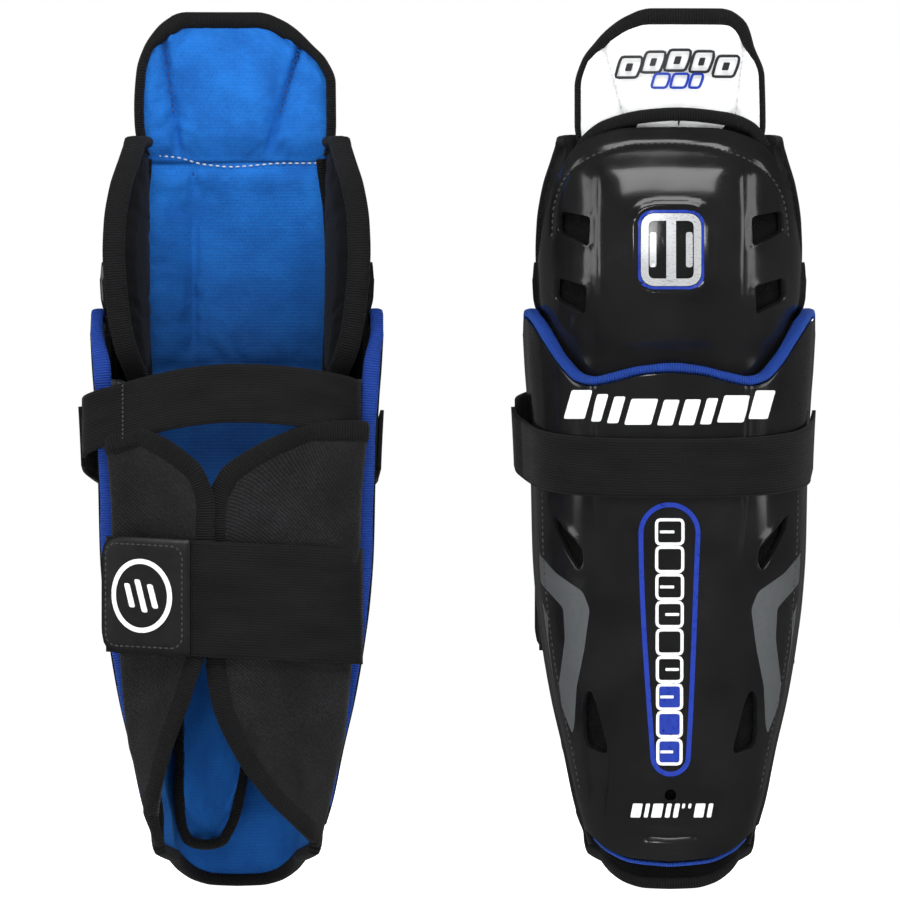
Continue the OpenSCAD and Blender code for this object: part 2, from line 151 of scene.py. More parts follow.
# comfort liner
liner_f = curve((20, 23.5), (60, 27.5), (110, 37), (150, 43.5), (200, 49.5), (238, 50.5), (290, 53.5),
                (318, 50),
                (336, 43.2))
liner_drop = curve((20, 8), (110, 8), (150, 9.5), (200, 12.5), (238, 14.5), (290, 19), (318, 13), (336, 7.2))
liner_hw = curve((20, 5), (23, 8.5), (28, 11), (36, 13), (60, 15.5), (100, 21), (150, 31), (200, 39),
                 (240, 41.5),
                 (290, 43.2), (312, 42.6), (325, 41), (337, 40))
liner_x = curve((20, -15), (70, -10), (150, 0), (280, -0.6), (347, -2))
# calf wraps
HINGE_LOW, HINGE_HIGH = (44, 11, 25), (55, 24, 208)


def hinge_x(z):
    return mix(HINGE_LOW[0], HINGE_HIGH[0], (z - HINGE_LOW[2]) / (HINGE_HIGH[2] - HINGE_LOW[2]))


def hinge_y(z):
    return mix(HINGE_LOW[1], HINGE_HIGH[1], (z - HINGE_LOW[2]) / (HINGE_HIGH[2] - HINGE_LOW[2]))


calf_back = curve((20, 27), (60, 32), (115, 38), (208, 42), (250, 42))


# ------------------------------------------------------------------ mesh making
def to_frame(side, points):
    """Local millimetres to the shared frame's metres."""
    p = np.array(points, float).reshape(-1, 3)
    return np.column_stack([p[:, 0] * MM + AXIS_X[side], FACING[side] * p[:, 1] * MM, p[:, 2] * MM])


def make(name, side, points, faces, uv=None, materials=(), face_material=None):
    """A mesh object from local points in mm and faces that look outward on the right guard."""
    mesh = bpy.data.meshes.new(name)
    if FACING[side] < 0:
        faces = [tuple(reversed(f)) for f in faces]
    mesh.from_pydata(to_frame(side, points).tolist(), [], [tuple(int(i) for i in f) for f in faces])
    for material in materials:
        mesh.materials.append(material)
    if face_material is not None:
        mesh.polygons.foreach_set("material_index", np.array(face_material, np.int32))
    if uv is not None:
        layer = mesh.uv_layers.new(name="UVMap")
        index = np.zeros(len(mesh.loops), np.int32)
        mesh.loops.foreach_get("vertex_index", index)
        layer.data.foreach_set("uv", (np.array(uv, float)[index] * MM).astype(np.float32).ravel())
    mesh.polygons.foreach_set("use_smooth", np.full(len(mesh.polygons), True))
    mesh.update()
    piece = bpy.data.objects.new(name, mesh)
    bpy.context.scene.collection.objects.link(piece)
    return piece


def grid_faces(rows, cols, start=0, flip=False, wrap=False):
    """Quads of a grid whose rows go up and whose columns go counter-clockwise seen from above."""
    r, c = np.meshgrid(np.arange(rows - 1), np.arange(cols if wrap else cols - 1), indexing="ij")
    a = (start + r * cols + c).ravel()
    b = (start + r * cols + (c + 1) % cols).ravel()
    quads = np.column_stack([a, b, b + cols, a + cols])
    return [tuple(q) for q in (quads[:, ::-1] if flip else quads).tolist()]


def arc_uv(points):
    """UV in mm for a grid (rows, cols, 3): lengths along the middle row and up the middle column."""
    rows, cols, _ = points.shape
    across, up = lengths(points[rows // 2]), lengths(points[:, cols // 2])
    return np.stack(np.broadcast_arrays(across[None, :], up[:, None]), -1).reshape(-1, 2)


def slab_faces(rows, cols):
    """Closed solid between an outer grid and an inner grid of the same size; also which face is which."""
    n = rows * cols
    outer, inner = grid_faces(rows, cols), grid_faces(rows, cols, n, flip=True)
    rim = []
    for c in range(cols - 1):
        top = (rows - 1) * cols + c
        rim += [(c + 1, c, c + n, c + 1 + n), (top, top + 1, top + 1 + n, top + n)]
    for r in range(rows - 1):
        left, right = r * cols, r * cols + cols - 1
        rim += [(left, left + cols, left + cols + n, left + n),
                (right + cols, right, right + n, right + cols + n)]
    return outer + inner + rim, [0] * len(outer) + [1] * len(inner) + [2] * len(rim)


def slab(name, side, outer, inner, materials, indices=(0, 0, 0)):
    """A closed slab from two grids; indices picks the material of its outer, inner and rim faces."""
    rows, cols, _ = outer.shape
    faces, kind = slab_faces(rows, cols)
    uv = np.vstack([arc_uv(outer), arc_uv(inner)])
    return make(name, side, np.vstack([outer.reshape(-1, 3), inner.reshape(-1, 3)]), faces, uv, materials,
                [indices[k] for k in kind])


def ride_and_slot(piece, body, slot, *nodes):
    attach(piece, body)
    if nodes:
        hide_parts(*nodes)
    return piece


def blend_and_slot(piece, bodies, line, slot, *nodes):
    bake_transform(piece)
    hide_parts(*nodes)
    return piece


def apply_modifiers(piece):
    graph = bpy.context.evaluated_depsgraph_get()
    graph.update()
    mesh = bpy.data.meshes.new_from_object(piece.evaluated_get(graph))
    old = piece.data
    piece.modifiers.clear()
    piece.data = mesh
    bpy.data.meshes.remove(old)


def unit(v):
    return v / (np.linalg.norm(v, axis=-1, keepdims=True) + 1e-12)


def lengths(points):
    """Distance along a path at each of its points."""
    return np.r_[0, np.cumsum(np.linalg.norm(np.diff(points, axis=0), axis=1))]


def along(points, places):
    """Points at these distances along a smooth curve through the given ones."""
    far = lengths(points)
    return np.column_stack([curve(*zip(far, points[:, k]))(places) for k in range(3)])


def resample(points, step):
    """Points every step mm along a smooth curve through the given ones."""
    p = np.array(points, float)
    total = lengths(p)[-1]
    return along(p, np.linspace(0, total, max(2, int(round(total / step)) + 1)))


SQUARENESS = 0.75     # of a tube's section: 1 is an ellipse, less is nearer a rectangle


def ribbon_tube(path, inward, half_across, half_thick, sides=12):
    """Rings of a soft flat tube along path. inward is the direction that its wide side lies in."""
    tangent = unit(np.gradient(path, axis=0))
    wide = unit(inward - tangent * np.sum(inward * tangent, axis=1, keepdims=True))
    thin = np.cross(tangent, wide)
    angle = np.arange(sides) * 2 * math.pi / sides
    a = np.sign(np.cos(angle)) * np.abs(np.cos(angle)) ** SQUARENESS
    b = np.sign(np.sin(angle)) * np.abs(np.sin(angle)) ** SQUARENESS
    half_across = np.broadcast_to(half_across, len(path))[:, None, None]
    half_thick = np.broadcast_to(half_thick, len(path))[:, None, None]
    return (path[:, None] + wide[:, None] * (half_across * a[None, :, None])
            + thin[:, None] * half_thick * b[None, :, None])


def tube(name, side, rings, materials, closed=False):
    """A closed tube from rings (n, sides, 3). UV: along the tube, and round it."""
    n, sides, _ = rings.shape
    centre = rings.mean(axis=1)
    uv = np.stack(np.broadcast_arrays(lengths(centre)[:, None], lengths(rings[n // 2])[None, :]),
                  -1).reshape(-1, 2)
    points = rings.reshape(-1, 3)
    faces = grid_faces(n, sides, wrap=True)
    if closed:
        last = (n - 1) * sides
        faces += [(last + k, last + (k + 1) % sides, (k + 1) % sides, k) for k in range(sides)]
    else:
        points = np.vstack([points, centre[0], centre[-1]])
        uv = np.vstack([uv, uv[0], uv[-1]])
        start, end, last = n * sides, n * sides + 1, (n - 1) * sides
        faces += [((k + 1) % sides, k, start) for k in range(sides)]
        faces += [(last + k, last + (k + 1) % sides, end) for k in range(sides)]
    return make(name, side, points, faces, uv, materials)


def stitches(name, side, path, normal, material, pitch=2.8, length=1.9, radius=0.32, lift=0.1):
    """A row of short threads lying along path, sunk into the surface at both ends."""
    p, normal = resample(path, pitch), np.atleast_2d(normal)
    place, known = np.linspace(0, 1, len(p)), np.linspace(0, 1, len(normal))
    n = unit(np.column_stack([np.interp(place, known, normal[:, k]) for k in range(3)]))
    tangent = unit(np.gradient(p, axis=0))
    across = np.cross(tangent, n)
    steps, sides = 5, 6
    points, faces = [], []
    for i in range(len(p)):
        start = len(points)
        for k in range(steps):
            t = k / (steps - 1) * 2 - 1
            r = radius * math.sqrt(max(0.05, 1 - t * t))
            centre = p[i] + tangent[i] * (t * length / 2) + n[i] * (lift - 0.35 * t * t)
            for j in range(sides):
                angle = 2 * math.pi * j / sides
                points.append(centre + across[i] * (r * math.cos(angle)) + n[i] * (r * math.sin(angle)))
        faces += grid_faces(steps, sides, start, wrap=True)
        faces.append(tuple(start + j for j in reversed(range(sides))))
        faces.append(tuple(start + (steps - 1) * sides + j for j in range(sides)))
    piece = make(name, side, points, faces, None, [material])
    bm = bmesh.new()
    bm.from_mesh(piece.data)
    bmesh.ops.recalc_face_normals(bm, faces=bm.faces)
    bm.to_mesh(piece.data)
    bm.free()
    return piece


def swell(points, faces, pinned, pressure, frames, most):
    """Let a fabric skin (points in mm) fill out under inner pressure; no point moves over most mm."""
    scene = bpy.context.scene
    unit_mm = 100.0
    mesh = bpy.data.meshes.new("swelling")
    mesh.from_pydata((np.array(points) / unit_mm).tolist(), [], [tuple(int(i) for i in f) for f in faces])
    piece = bpy.data.objects.new("swelling", mesh)
    scene.collection.objects.link(piece)
    group = piece.vertex_groups.new(name="pin")
    for index, weight in enumerate(pinned):
        if weight > 0:
            group.add([index], float(weight), "REPLACE")
    cloth = piece.modifiers.new("cloth", "CLOTH")
    settings = cloth.settings
    settings.quality = 6
    settings.mass = 0.3
    settings.tension_stiffness = settings.compression_stiffness = 22
    settings.shear_stiffness = 14
    settings.bending_stiffness = 0.6
    settings.air_damping = 4
    settings.use_pressure = True
    settings.uniform_pressure_force = pressure
    settings.vertex_group_mass = "pin"
    settings.shrink_min = -0.035
    settings.effector_weights.gravity = 0
    cloth.collision_settings.use_collision = False
    cloth.point_cache.frame_start, cloth.point_cache.frame_end = 1, frames
    for frame_number in range(1, frames + 1):
        scene.frame_set(frame_number)
    shape = piece.evaluated_get(bpy.context.evaluated_depsgraph_get()).to_mesh()
    moved = np.zeros(len(shape.vertices) * 3)
    shape.vertices.foreach_get("co", moved)
    moved = moved.reshape(-1, 3) * unit_mm - points
    scene.frame_set(1)
    bpy.data.objects.remove(piece)
    size = np.linalg.norm(moved, axis=1, keepdims=True)
    return points + moved * np.minimum(1, most / np.maximum(size, 1e-9))


# ------------------------------------------------------------------ materials
class Shader:
    """A principled material built up node by node. Textures run in millimetres."""

    def __init__(self, name, **base):
        self.material = bpy.data.materials.new(name)
        self.material.use_nodes = True
        self.tree = self.material.node_tree
        self.tree.nodes.clear()
        output = self.tree.nodes.new("ShaderNodeOutputMaterial")
        self.bsdf = self.tree.nodes.new("ShaderNodeBsdfPrincipled")
        self.tree.links.new(self.bsdf.outputs[0], output.inputs[0])
        for key, value in base.items():
            self.bsdf.inputs[key.replace("_", " ")].default_value = value

    def add(self, kind, inputs=None, **settings):
        node = self.tree.nodes.new("ShaderNode" + kind)
        for key, value in settings.items():
            setattr(node, key, value)
        for key, value in (inputs or {}).items():
            if isinstance(value, bpy.types.NodeSocket):
                self.tree.links.new(value, node.inputs[key])
            else:
                node.inputs[key].default_value = value
        return node

    def place(self, flat=True, stretch=(1, 1, 1), turn=0.0):
        """Coordinates in mm: flat ones follow the fabric, the others fill the space."""
        coordinates = self.add("TexCoord").outputs["UV" if flat else "Object"]
        spin = self.add("Mapping", {"Vector": coordinates, "Rotation": (0, 0, turn)})
        return self.add("Mapping", {"Vector": spin.outputs[0],
                                    "Scale": tuple(1000 * k for k in stretch)}).outputs[0]

    def noise(self, place, period, detail=3.0, rough=0.55):
        return self.add("TexNoise", {"Vector": place, "Scale": 1 / period, "Detail": detail,
                                     "Roughness": rough}).outputs["Fac"]

    def cells(self, place, period, feature="F1"):
        return self.add("TexVoronoi", {"Vector": place, "Scale": 1 / period},
                        feature=feature).outputs["Distance"]

    def wave(self, place, period, direction="X", wobble=0.0, wobble_size=1.0):
        return self.add("TexWave", {"Vector": place, "Scale": math.pi / (10 * period), "Distortion": wobble,
                                    "Detail": 1.0, "Detail Scale": wobble_size},
                        bands_direction=direction).outputs["Fac"]

    def math(self, operation, a, b=0.0):
        return self.add("Math", {0: a, 1: b}, operation=operation).outputs[0]

    def fit(self, value, low, high, to_low=0.0, to_high=1.0):
        return self.add("MapRange", {"Value": value, "From Min": low, "From Max": high, "To Min": to_low,
                                     "To Max": to_high}).outputs[0]

    def blend_colour(self, factor, a, b):
        node = self.add("Mix", {0: factor}, data_type="RGBA")
        for index, value in ((6, a), (7, b)):
            if isinstance(value, bpy.types.NodeSocket):
                self.tree.links.new(value, node.inputs[index])
            else:
                node.inputs[index].default_value = (*value, 1)
        return node.outputs[2]

    def colour(self, socket):
        self.tree.links.new(socket, self.bsdf.inputs["Base Color"])

    def roughness(self, socket):
        self.tree.links.new(socket, self.bsdf.inputs["Roughness"])

    def bump(self, height, depth_mm, strength=1.0, under=None):
        inputs = {"Height": height, "Distance": depth_mm * MM, "Strength": strength}
        if under:
            inputs["Normal"] = under
        normal = self.add("Bump", inputs).outputs[0]
        self.tree.links.new(normal, self.bsdf.inputs["Normal"])
        return normal


def gloss_plastic():
    s = Shader("gloss_plastic", Specular_IOR_Level=0.34, Coat_Weight=0.15, Coat_Roughness=0.06)
    space = s.place(flat=False)
    handling = s.noise(space, 34, 4)
    s.colour(s.blend_colour(s.fit(handling, 0.35, 0.7), (0.007, 0.007, 0.0075), (0.012, 0.012, 0.0125)))
    scuffs = s.noise(s.place(flat=False, stretch=(0.9, 0.9, 0.06)), 0.5, 2)
    haze = s.fit(s.noise(space, 60, 5, 0.7), 0.4, 0.75, 0.0, 0.12)
    s.roughness(s.math("ADD", s.fit(scuffs, 0.62, 0.75, 0.11, 0.2), haze))
    waves = s.bump(s.noise(space, 26, 1), 0.22)
    s.bump(s.fit(scuffs, 0.6, 0.78), 0.012, under=waves)
    return s.material


def foam(name, low, high, depth):
    s = Shader(name, Roughness=0.94, Specular_IOR_Level=0.2)
    space = s.place(flat=False)
    pores = s.cells(space, 0.85)
    s.colour(s.blend_colour(s.fit(s.math("ADD", pores, s.noise(space, 7)), 0.6, 1.2), low, high))
    s.bump(s.math("ADD", pores, s.noise(space, 3)), depth)
    return s.material


def ribbed(name, valley, ridge, tint, sheen):
    """Grosgrain binding: ribs across its length over a fine weave."""
    s = Shader(name, Roughness=0.8, Sheen_Weight=sheen, Sheen_Roughness=0.4, Specular_IOR_Level=0.2,
               Sheen_Tint=(*tint, 1))
    flat = s.place()
    ribs = s.wave(flat, 1.15, "X", 0.35, 3.0)
    threads = s.noise(s.place(stretch=(0.35, 2.4, 1)), 0.5, 2)
    use = s.noise(s.place(flat=False), 17, 4)
    shade = s.math("MULTIPLY", s.fit(ribs, 0.1, 0.9, 0.25, 1), s.fit(use, 0.3, 0.7, 0.72, 1.1))
    s.colour(s.blend_colour(s.math("MULTIPLY", shade, s.fit(threads, 0.3, 0.7, 0.7, 1.1)), valley, ridge))
    folds = s.bump(use, 0.9)
    s.bump(s.math("ADD", ribs, s.fit(threads, 0, 1, 0, 0.45)), 0.3, under=folds)
    return s.material


def brushed_mesh(name, low, high, tint, sheen):
    """Brushed tricot on foam: fine courses, a patchy nap, and painted shade: darker by height where it lies
    deep in the guard.
    """
    s = Shader(name, Roughness=0.86, Sheen_Weight=sheen, Sheen_Roughness=0.35, Specular_IOR_Level=0.2,
               Sheen_Tint=(*tint, 1))
    flat = s.place()
    courses = s.wave(flat, 1.5, "Y", 0.8, 2.0)
    fibres = s.noise(s.place(stretch=(2.2, 0.5, 1)), 0.9, 3)
    nap = s.noise(flat, 24, 5, 0.6)
    light = s.math("MULTIPLY", s.fit(nap, 0.3, 0.72, 0.45, 1.25), s.fit(courses, 0, 1, 0.88, 1))
    face = s.blend_colour(s.math("MULTIPLY", light, s.fit(fibres, 0.25, 0.75, 0.6, 1.25)), low, high)
    # painted shade: the colour is darkened towards a fifth of the low colour by height, darkest 190 to 235
    # mm up, lighter towards the top and a little lighter towards the foot
    height = s.add("SeparateXYZ", {0: s.place(flat=False)}).outputs[2]
    painted_light_by_height = s.math("MAXIMUM", s.fit(height, 235, 322, 0.3, 1), s.fit(height, 190, 60, 0.3, 0.6))
    s.colour(s.blend_colour(painted_light_by_height, tuple(0.2 * v for v in low), face))
    soft = s.bump(nap, 0.9)
    s.bump(s.math("ADD", s.math("MULTIPLY", courses, 0.35), fibres), 0.16, under=soft)
    return s.material


def twill(name, low, high, turn=0.7):
    """Laminated calf fabric: a diagonal weave over soft padding."""
    s = Shader(name, Roughness=0.85, Sheen_Weight=0.06, Sheen_Roughness=0.5, Specular_IOR_Level=0.2)
    flat = s.place()
    lines = s.wave(s.place(turn=turn), 1.25, "X", 1.2, 2.0)
    cross = s.noise(s.place(stretch=(1, 1, 1)), 1.3, 2)
    wear = s.noise(flat, 22, 4)
    weave = s.math("MULTIPLY", s.fit(lines, 0, 1, 0.3, 1), s.fit(cross, 0.3, 0.7, 0.3, 1))
    s.colour(s.blend_colour(s.math("MULTIPLY", weave, s.fit(wear, 0.3, 0.7, 0.5, 1.2)), low, high))
    soft = s.bump(wear, 1.2)
    s.bump(weave, 0.28, under=soft)
    return s.material


def woven_elastic():
    s = Shader("woven_elastic", Roughness=0.82, Sheen_Weight=0.05, Sheen_Roughness=0.4,
               Specular_IOR_Level=0.2)
    flat = s.place()
    rows = s.wave(flat, 1.25, "Y", 0.3, 3.0)
    picks = s.wave(flat, 0.9, "X", 0.5, 3.0)
    stretch = s.noise(s.place(stretch=(0.25, 1, 1)), 9, 3)
    weave = s.math("MULTIPLY", s.fit(rows, 0, 1, 0.35, 1), s.fit(picks, 0, 1, 0.55, 1))
    tone = s.math("MULTIPLY", weave, s.fit(stretch, 0.3, 0.7, 0.6, 1.2))
    s.colour(s.blend_colour(tone, (0.001, 0.001, 0.0012), (0.01, 0.01, 0.0107)))
    soft = s.bump(stretch, 0.5)
    s.bump(weave, 0.25, under=soft)
    return s.material


def grained_vinyl():
    s = Shader("grained_vinyl", Roughness=0.4, Specular_IOR_Level=0.45)
    space = s.place(flat=False)
    grain = s.cells(space, 1.1)
    age = s.noise(space, 28, 4)
    s.colour(s.blend_colour(s.fit(age, 0.3, 0.7), (0.74, 0.745, 0.75), (0.86, 0.865, 0.865)))
    s.roughness(s.fit(age, 0.3, 0.7, 0.36, 0.5))
    soft = s.bump(age, 1.1)
    s.bump(s.math("ADD", grain, s.noise(space, 0.7, 2)), 0.07, under=soft)
    return s.material


def soft_rubber():
    s = Shader("soft_rubber", Roughness=0.5, Specular_IOR_Level=0.4)
    space = s.place(flat=False)
    s.colour(s.blend_colour(s.noise(space, 8, 5), (0.003, 0.003, 0.0033), (0.008, 0.008, 0.0086)))
    s.roughness(s.fit(s.noise(space, 5), 0.3, 0.7, 0.42, 0.62))
    s.bump(s.noise(space, 0.6, 3), 0.06)
    return s.material


def ink(name, low, high, rough=0.35):
    s = Shader(name, Coat_Weight=0.2)
    space = s.place(flat=False)
    thin = s.noise(space, 2.2, 4, 0.7)
    s.colour(s.blend_colour(s.fit(thin, 0.28, 0.5), low, high))
    s.roughness(s.fit(thin, 0.3, 0.7, rough, rough + 0.15))
    s.bump(thin, 0.02)
    return s.material


def brushed_silver():
    s = Shader("brushed_silver", Metallic=0.4)
    space = s.place(flat=False, stretch=(0.2, 1, 1))
    lines = s.noise(space, 0.35, 3)
    s.colour(s.blend_colour(lines, (0.48, 0.49, 0.51), (0.68, 0.69, 0.71)))
    s.roughness(s.fit(lines, 0.3, 0.7, 0.24, 0.38))
    s.bump(lines, 0.015)
    return s.material


def thread(name, low, high):
    s = Shader(name, Roughness=0.7, Sheen_Weight=0.2)
    space = s.place(flat=False)
    s.colour(s.blend_colour(s.noise(space, 0.5, 2), low, high))
    s.bump(s.noise(space, 0.25, 2), 0.08)
    return s.material


def pale_floor():
    s = Shader("pale_floor", Roughness=0.8, Specular_IOR_Level=0.05, Emission_Color=(1, 1, 1, 1),
               Emission_Strength=1.0)
    space = s.place(flat=False)
    s.colour(s.blend_colour(s.noise(space, 300, 3), (0.955, 0.955, 0.955), (0.975, 0.975, 0.975)))
    return s.material


GLOSS = gloss_plastic()
WHITE_FOAM = foam("white_foam", (0.5, 0.51, 0.52), (0.8, 0.81, 0.82), 0.35)
BLACK_FOAM = foam("black_foam", (0.0006, 0.0006, 0.0007), (0.004, 0.004, 0.0044), 0.6)
BLACK_BINDING = ribbed("black_binding", (0.0015, 0.0015, 0.0018), (0.0085, 0.0085, 0.0095), (1, 1, 1), 0.04)
BLUE_BINDING = ribbed("blue_binding", (0.004, 0.02, 0.13), (0.014, 0.06, 0.37), (0.1, 0.3, 1), 0.3)
BLUE_MESH = brushed_mesh("blue_mesh", (0.002, 0.042, 0.22), (0.012, 0.155, 0.56), (0.1, 0.4, 1), 0.45)
BLACK_MESH = brushed_mesh("black_mesh", (0.001, 0.001, 0.0012), (0.004, 0.004, 0.0045), (1, 1, 1), 0.03)
BLACK_TWILL = twill("black_twill", (0.0012, 0.0012, 0.0014), (0.02, 0.02, 0.022))
ELASTIC = woven_elastic()
VINYL = grained_vinyl()
RUBBER = soft_rubber()
SILVER = brushed_silver()
WHITE_INK = ink("white_ink", (0.55, 0.56, 0.57), (0.84, 0.85, 0.86))
GREY_INK = ink("grey_ink", (0.058, 0.062, 0.065), (0.076, 0.082, 0.085), 0.3)
BLUE_INK = ink("blue_ink", (0.001, 0.018, 0.21), (0.003, 0.03, 0.34), 0.25)
BLACK_INK = ink("black_ink", (0.01, 0.01, 0.012), (0.02, 0.02, 0.024), 0.3)
BLACK_THREAD = thread("black_thread", (0.008, 0.008, 0.009), (0.045, 0.045, 0.048))
PALE_THREAD = thread("pale_thread", (0.45, 0.47, 0.5), (0.72, 0.74, 0.76))
BLUE_THREAD = thread("blue_thread", (0.002, 0.012, 0.07), (0.006, 0.035, 0.18))


# ------------------------------------------------------------------ hard walls, slots and prints
def rounded(outline, radius=2.0, steps=5):
    """An outline with round corners."""
    p = np.array(outline, float)
    out = []
    for before, corner, after in zip(np.roll(p, 1, axis=0), p, np.roll(p, -1, axis=0)):
        ends = [corner + (k - corner) * min(0.45, radius / (np.linalg.norm(k - corner) + 1e-9))
                for k in (before, after)]
        for t in np.linspace(0, 1, steps):
            out.append((1 - t) ** 2 * ends[0] + 2 * t * (1 - t) * corner + t * t * ends[1])
    return np.array(out)


def both_sides(outline):
    return [rounded(outline), rounded([(-x, z) for x, z in reversed(outline)])]


def outline_distance(x, z, outline):
    """Distance in mm from (x, z) to an outline, negative inside, and the nearest point on it."""
    a = np.asarray(outline, float)
    b = np.roll(a, -1, axis=0)
    p = np.stack([x, z], -1)[..., None, :]
    t = np.clip(np.sum((p - a) * (b - a), -1) / np.sum((b - a) ** 2, -1), 0, 1)
    near = a + (b - a) * t[..., None]
    d = np.linalg.norm(p - near, axis=-1)
    k = d.argmin(-1)
    crosses = ((a[:, 1] > p[..., 1]) != (b[:, 1] > p[..., 1])) & (
        p[..., 0] < (b[:, 0] - a[:, 0]) * (p[..., 1] - a[:, 1]) / (b[:, 1] - a[:, 1] + 1e-12) + a[:, 0])
    inside = crosses.sum(-1) % 2 == 1
    nearest = np.take_along_axis(near, k[..., None, None], -2)[..., 0, :]
    distance = np.take_along_axis(d, k[..., None], -1)[..., 0]
    return np.where(inside, -distance, distance), nearest


def path_distance(x, z, path):
    a, b = np.array(path[:-1], float), np.array(path[1:], float)
    p = np.stack([x, z], -1)[..., None, :]
    t = np.clip(np.sum((p - a) * (b - a), -1) / np.sum((b - a) ** 2, -1), 0, 1)
    return np.linalg.norm(p - a - (b - a) * t[..., None], axis=-1).min(-1)


def ripple(x, z):
    """Slight unevenness of a moulded wall, in mm."""
    return 0.10 * np.sin(x / 9 + z / 23) * np.sin(z / 17 - x / 31) + 0.05 * np.sin(x / 5.1 - z / 8.3)


VENT = [(2.7 * math.cos(k * math.pi / 12), 43.4 + 2.7 * math.sin(k * math.pi / 12)) for k in range(24)]
SHIN_SLOTS = (both_sides([(53.8, 172.4), (46.5, 163.3), (40.4, 156.2), (39.7, 150), (41.8, 145.6),
                          (46.8, 152.9), (52.9, 165.4)])
              + both_sides([(33.9, 85.5), (36, 91), (38.4, 91), (39.8, 86), (39.8, 70.6), (38.4, 65.2),
                            (29.2, 61.9), (28.6, 64.9)]))
CAP_SLOTS = (both_sides([(36.6, 308.2), (51.2, 311.2), (51.4, 301.2), (37.2, 294.2)])
             + both_sides([(38.4, 276.4), (52.5, 280.8), (52.6, 270.2), (39, 263.2)]))
CAP_STITCH = [(-54.5, 300), (-53.6, 312), (-51, 321), (-46.5, 328.5), (-39, 334.5), (-29, 338.8),
              (-17, 341.4), (0, 341.8),
              (18, 340.2), (30, 336.6), (40, 331.6), (48.5, 323.5), (53, 312), (54.3, 300)]
BADGE_HALF = (15.5, 18.5)
BADGE_Z = 293
BADGE_CORNER = 8.5


def badge_distance(x, z):
    """Distance in mm from (x, z) to the badge's outline, negative inside."""
    qx = np.abs(x) - (BADGE_HALF[0] - BADGE_CORNER)
    qz = np.abs(np.asarray(z) - BADGE_Z) - (BADGE_HALF[1] - BADGE_CORNER)
    return np.hypot(np.maximum(qx, 0), np.maximum(qz, 0)) + np.minimum(np.maximum(qx, qz), 0) - BADGE_CORNER


def shin_relief(x, z):
    x, z = np.broadcast_arrays(np.asarray(x, float), np.asarray(z, float))
    lift = 1.1 * smooth(panel_hw(z) + 0.8 - np.abs(x), -0.9, 1.2) * smooth(z, 30.2, 32.4)
    lift = lift + 0.6 * np.exp(-((z - 27.2 - 0.004 * x * x) / 1.2) ** 2) * smooth(30 - np.abs(x), 0, 8)
    lift = lift - 1.3 * smooth(12.3 - np.abs(x), 0, 1.4) * np.exp(-((z - 23.9) / 1.05) ** 4)
    for slot in SHIN_SLOTS:
        near, _ = outline_distance(x, z, slot)
        lift = lift + 0.3 * np.exp(-(near / 1.6) ** 2)
    return lift + ripple(x, z)


def cap_relief(x, z):
    x, z = np.broadcast_arrays(np.asarray(x, float), np.asarray(z, float))
    panel = smooth(33.5 - np.abs(x), -1.6, 1.8) * smooth(z, 245, 252) * smooth(-z, -337, -327)
    lift = 0.7 * panel
    near = badge_distance(x, z)
    lift = lift + 1.3 * smooth(near, -0.4, 0.8) * smooth(-near, -4.6, -2.6)
    lift = lift - 0.55 * np.exp(-(path_distance(x, z, CAP_STITCH) / 1.0) ** 2)
    for slot in CAP_SLOTS:
        near, _ = outline_distance(x, z, slot)
        lift = lift + 0.35 * np.exp(-(near / 1.5) ** 2)
    return lift + ripple(x, z)


def on_shin(x, z, out=0.0):
    """Point of the shin shell's moulded face above (x, z), out mm off it, with its outward normal."""
    x, z = np.broadcast_arrays(np.asarray(x, float), np.asarray(z, float))
    w, f, yc = shin_w(z), shin_f(z), centre_y(z)
    y = front_y(x, w, f, yc)
    nx, ny = plan_normal(x, y, w, f, yc)
    d = shin_relief(x, z) + out
    return np.stack([x + nx * d, y + ny * d, z], -1), np.stack([nx, ny, np.zeros_like(nx)], -1)


def on_cap(x, z, out=0.0):
    x, z = np.broadcast_arrays(np.asarray(x, float), np.asarray(z, float))
    w, f = cap_w(z), cap_f(z)
    y = front_y(x, w, f, 0)
    nx, ny = plan_normal(x, y, w, f, 0)
    d = cap_relief(x, z) + out
    return np.stack([x + nx * d, y + ny * d, z], -1), np.stack([nx, ny, np.zeros_like(nx)], -1)


def hard_wall(name, side, place, w, f, yc, relief, slots, rows, cols, thickness):
    """A moulded wall: place(s, v) gives its plain face, relief its raised and sunk detail, slots are cut."""
    grid = place(np.linspace(-1, 1, cols)[None, :], np.linspace(0, 1, rows)[:, None]).reshape(-1, 3)
    uv = arc_uv(grid.reshape(rows, cols, 3))
    faces = np.array(grid_faces(rows, cols))
    middle = grid[faces].mean(axis=1)
    keep = np.ones(len(faces), bool)
    for slot in slots:
        inside = (outline_distance(middle[:, 0], middle[:, 2], slot)[0] < 0) & (middle[:, 1] < 0)
        keep &= ~inside
        edge = np.intersect1d(faces[inside].ravel(), faces[keep].ravel())
        if len(edge):
            _, nearest = outline_distance(grid[edge, 0], grid[edge, 2], slot)
            grid[edge, 0], grid[edge, 2] = nearest[:, 0], nearest[:, 1]
            z = grid[edge, 2]
            grid[edge, 1] = front_y(grid[edge, 0], w(z), f(z), yc(z))
    nx, ny = plan_normal(grid[:, 0], grid[:, 1], w(grid[:, 2]), f(grid[:, 2]), yc(grid[:, 2]))
    lift = relief(grid[:, 0], grid[:, 2]) * smooth(-grid[:, 1], -2, 6)
    grid[:, 0] += nx * lift
    grid[:, 1] += ny * lift
    piece = make(name, side, grid, faces[keep].tolist(), uv, [GLOSS])
    solid = piece.modifiers.new("wall", "SOLIDIFY")
    solid.thickness, solid.offset, solid.use_even_offset = thickness * MM, -1, True
    bevel = piece.modifiers.new("edges", "BEVEL")
    bevel.width, bevel.segments, bevel.limit_method, bevel.angle_limit = 0.55 * MM, 2, "ANGLE", 1.0
    apply_modifiers(piece)
    return piece


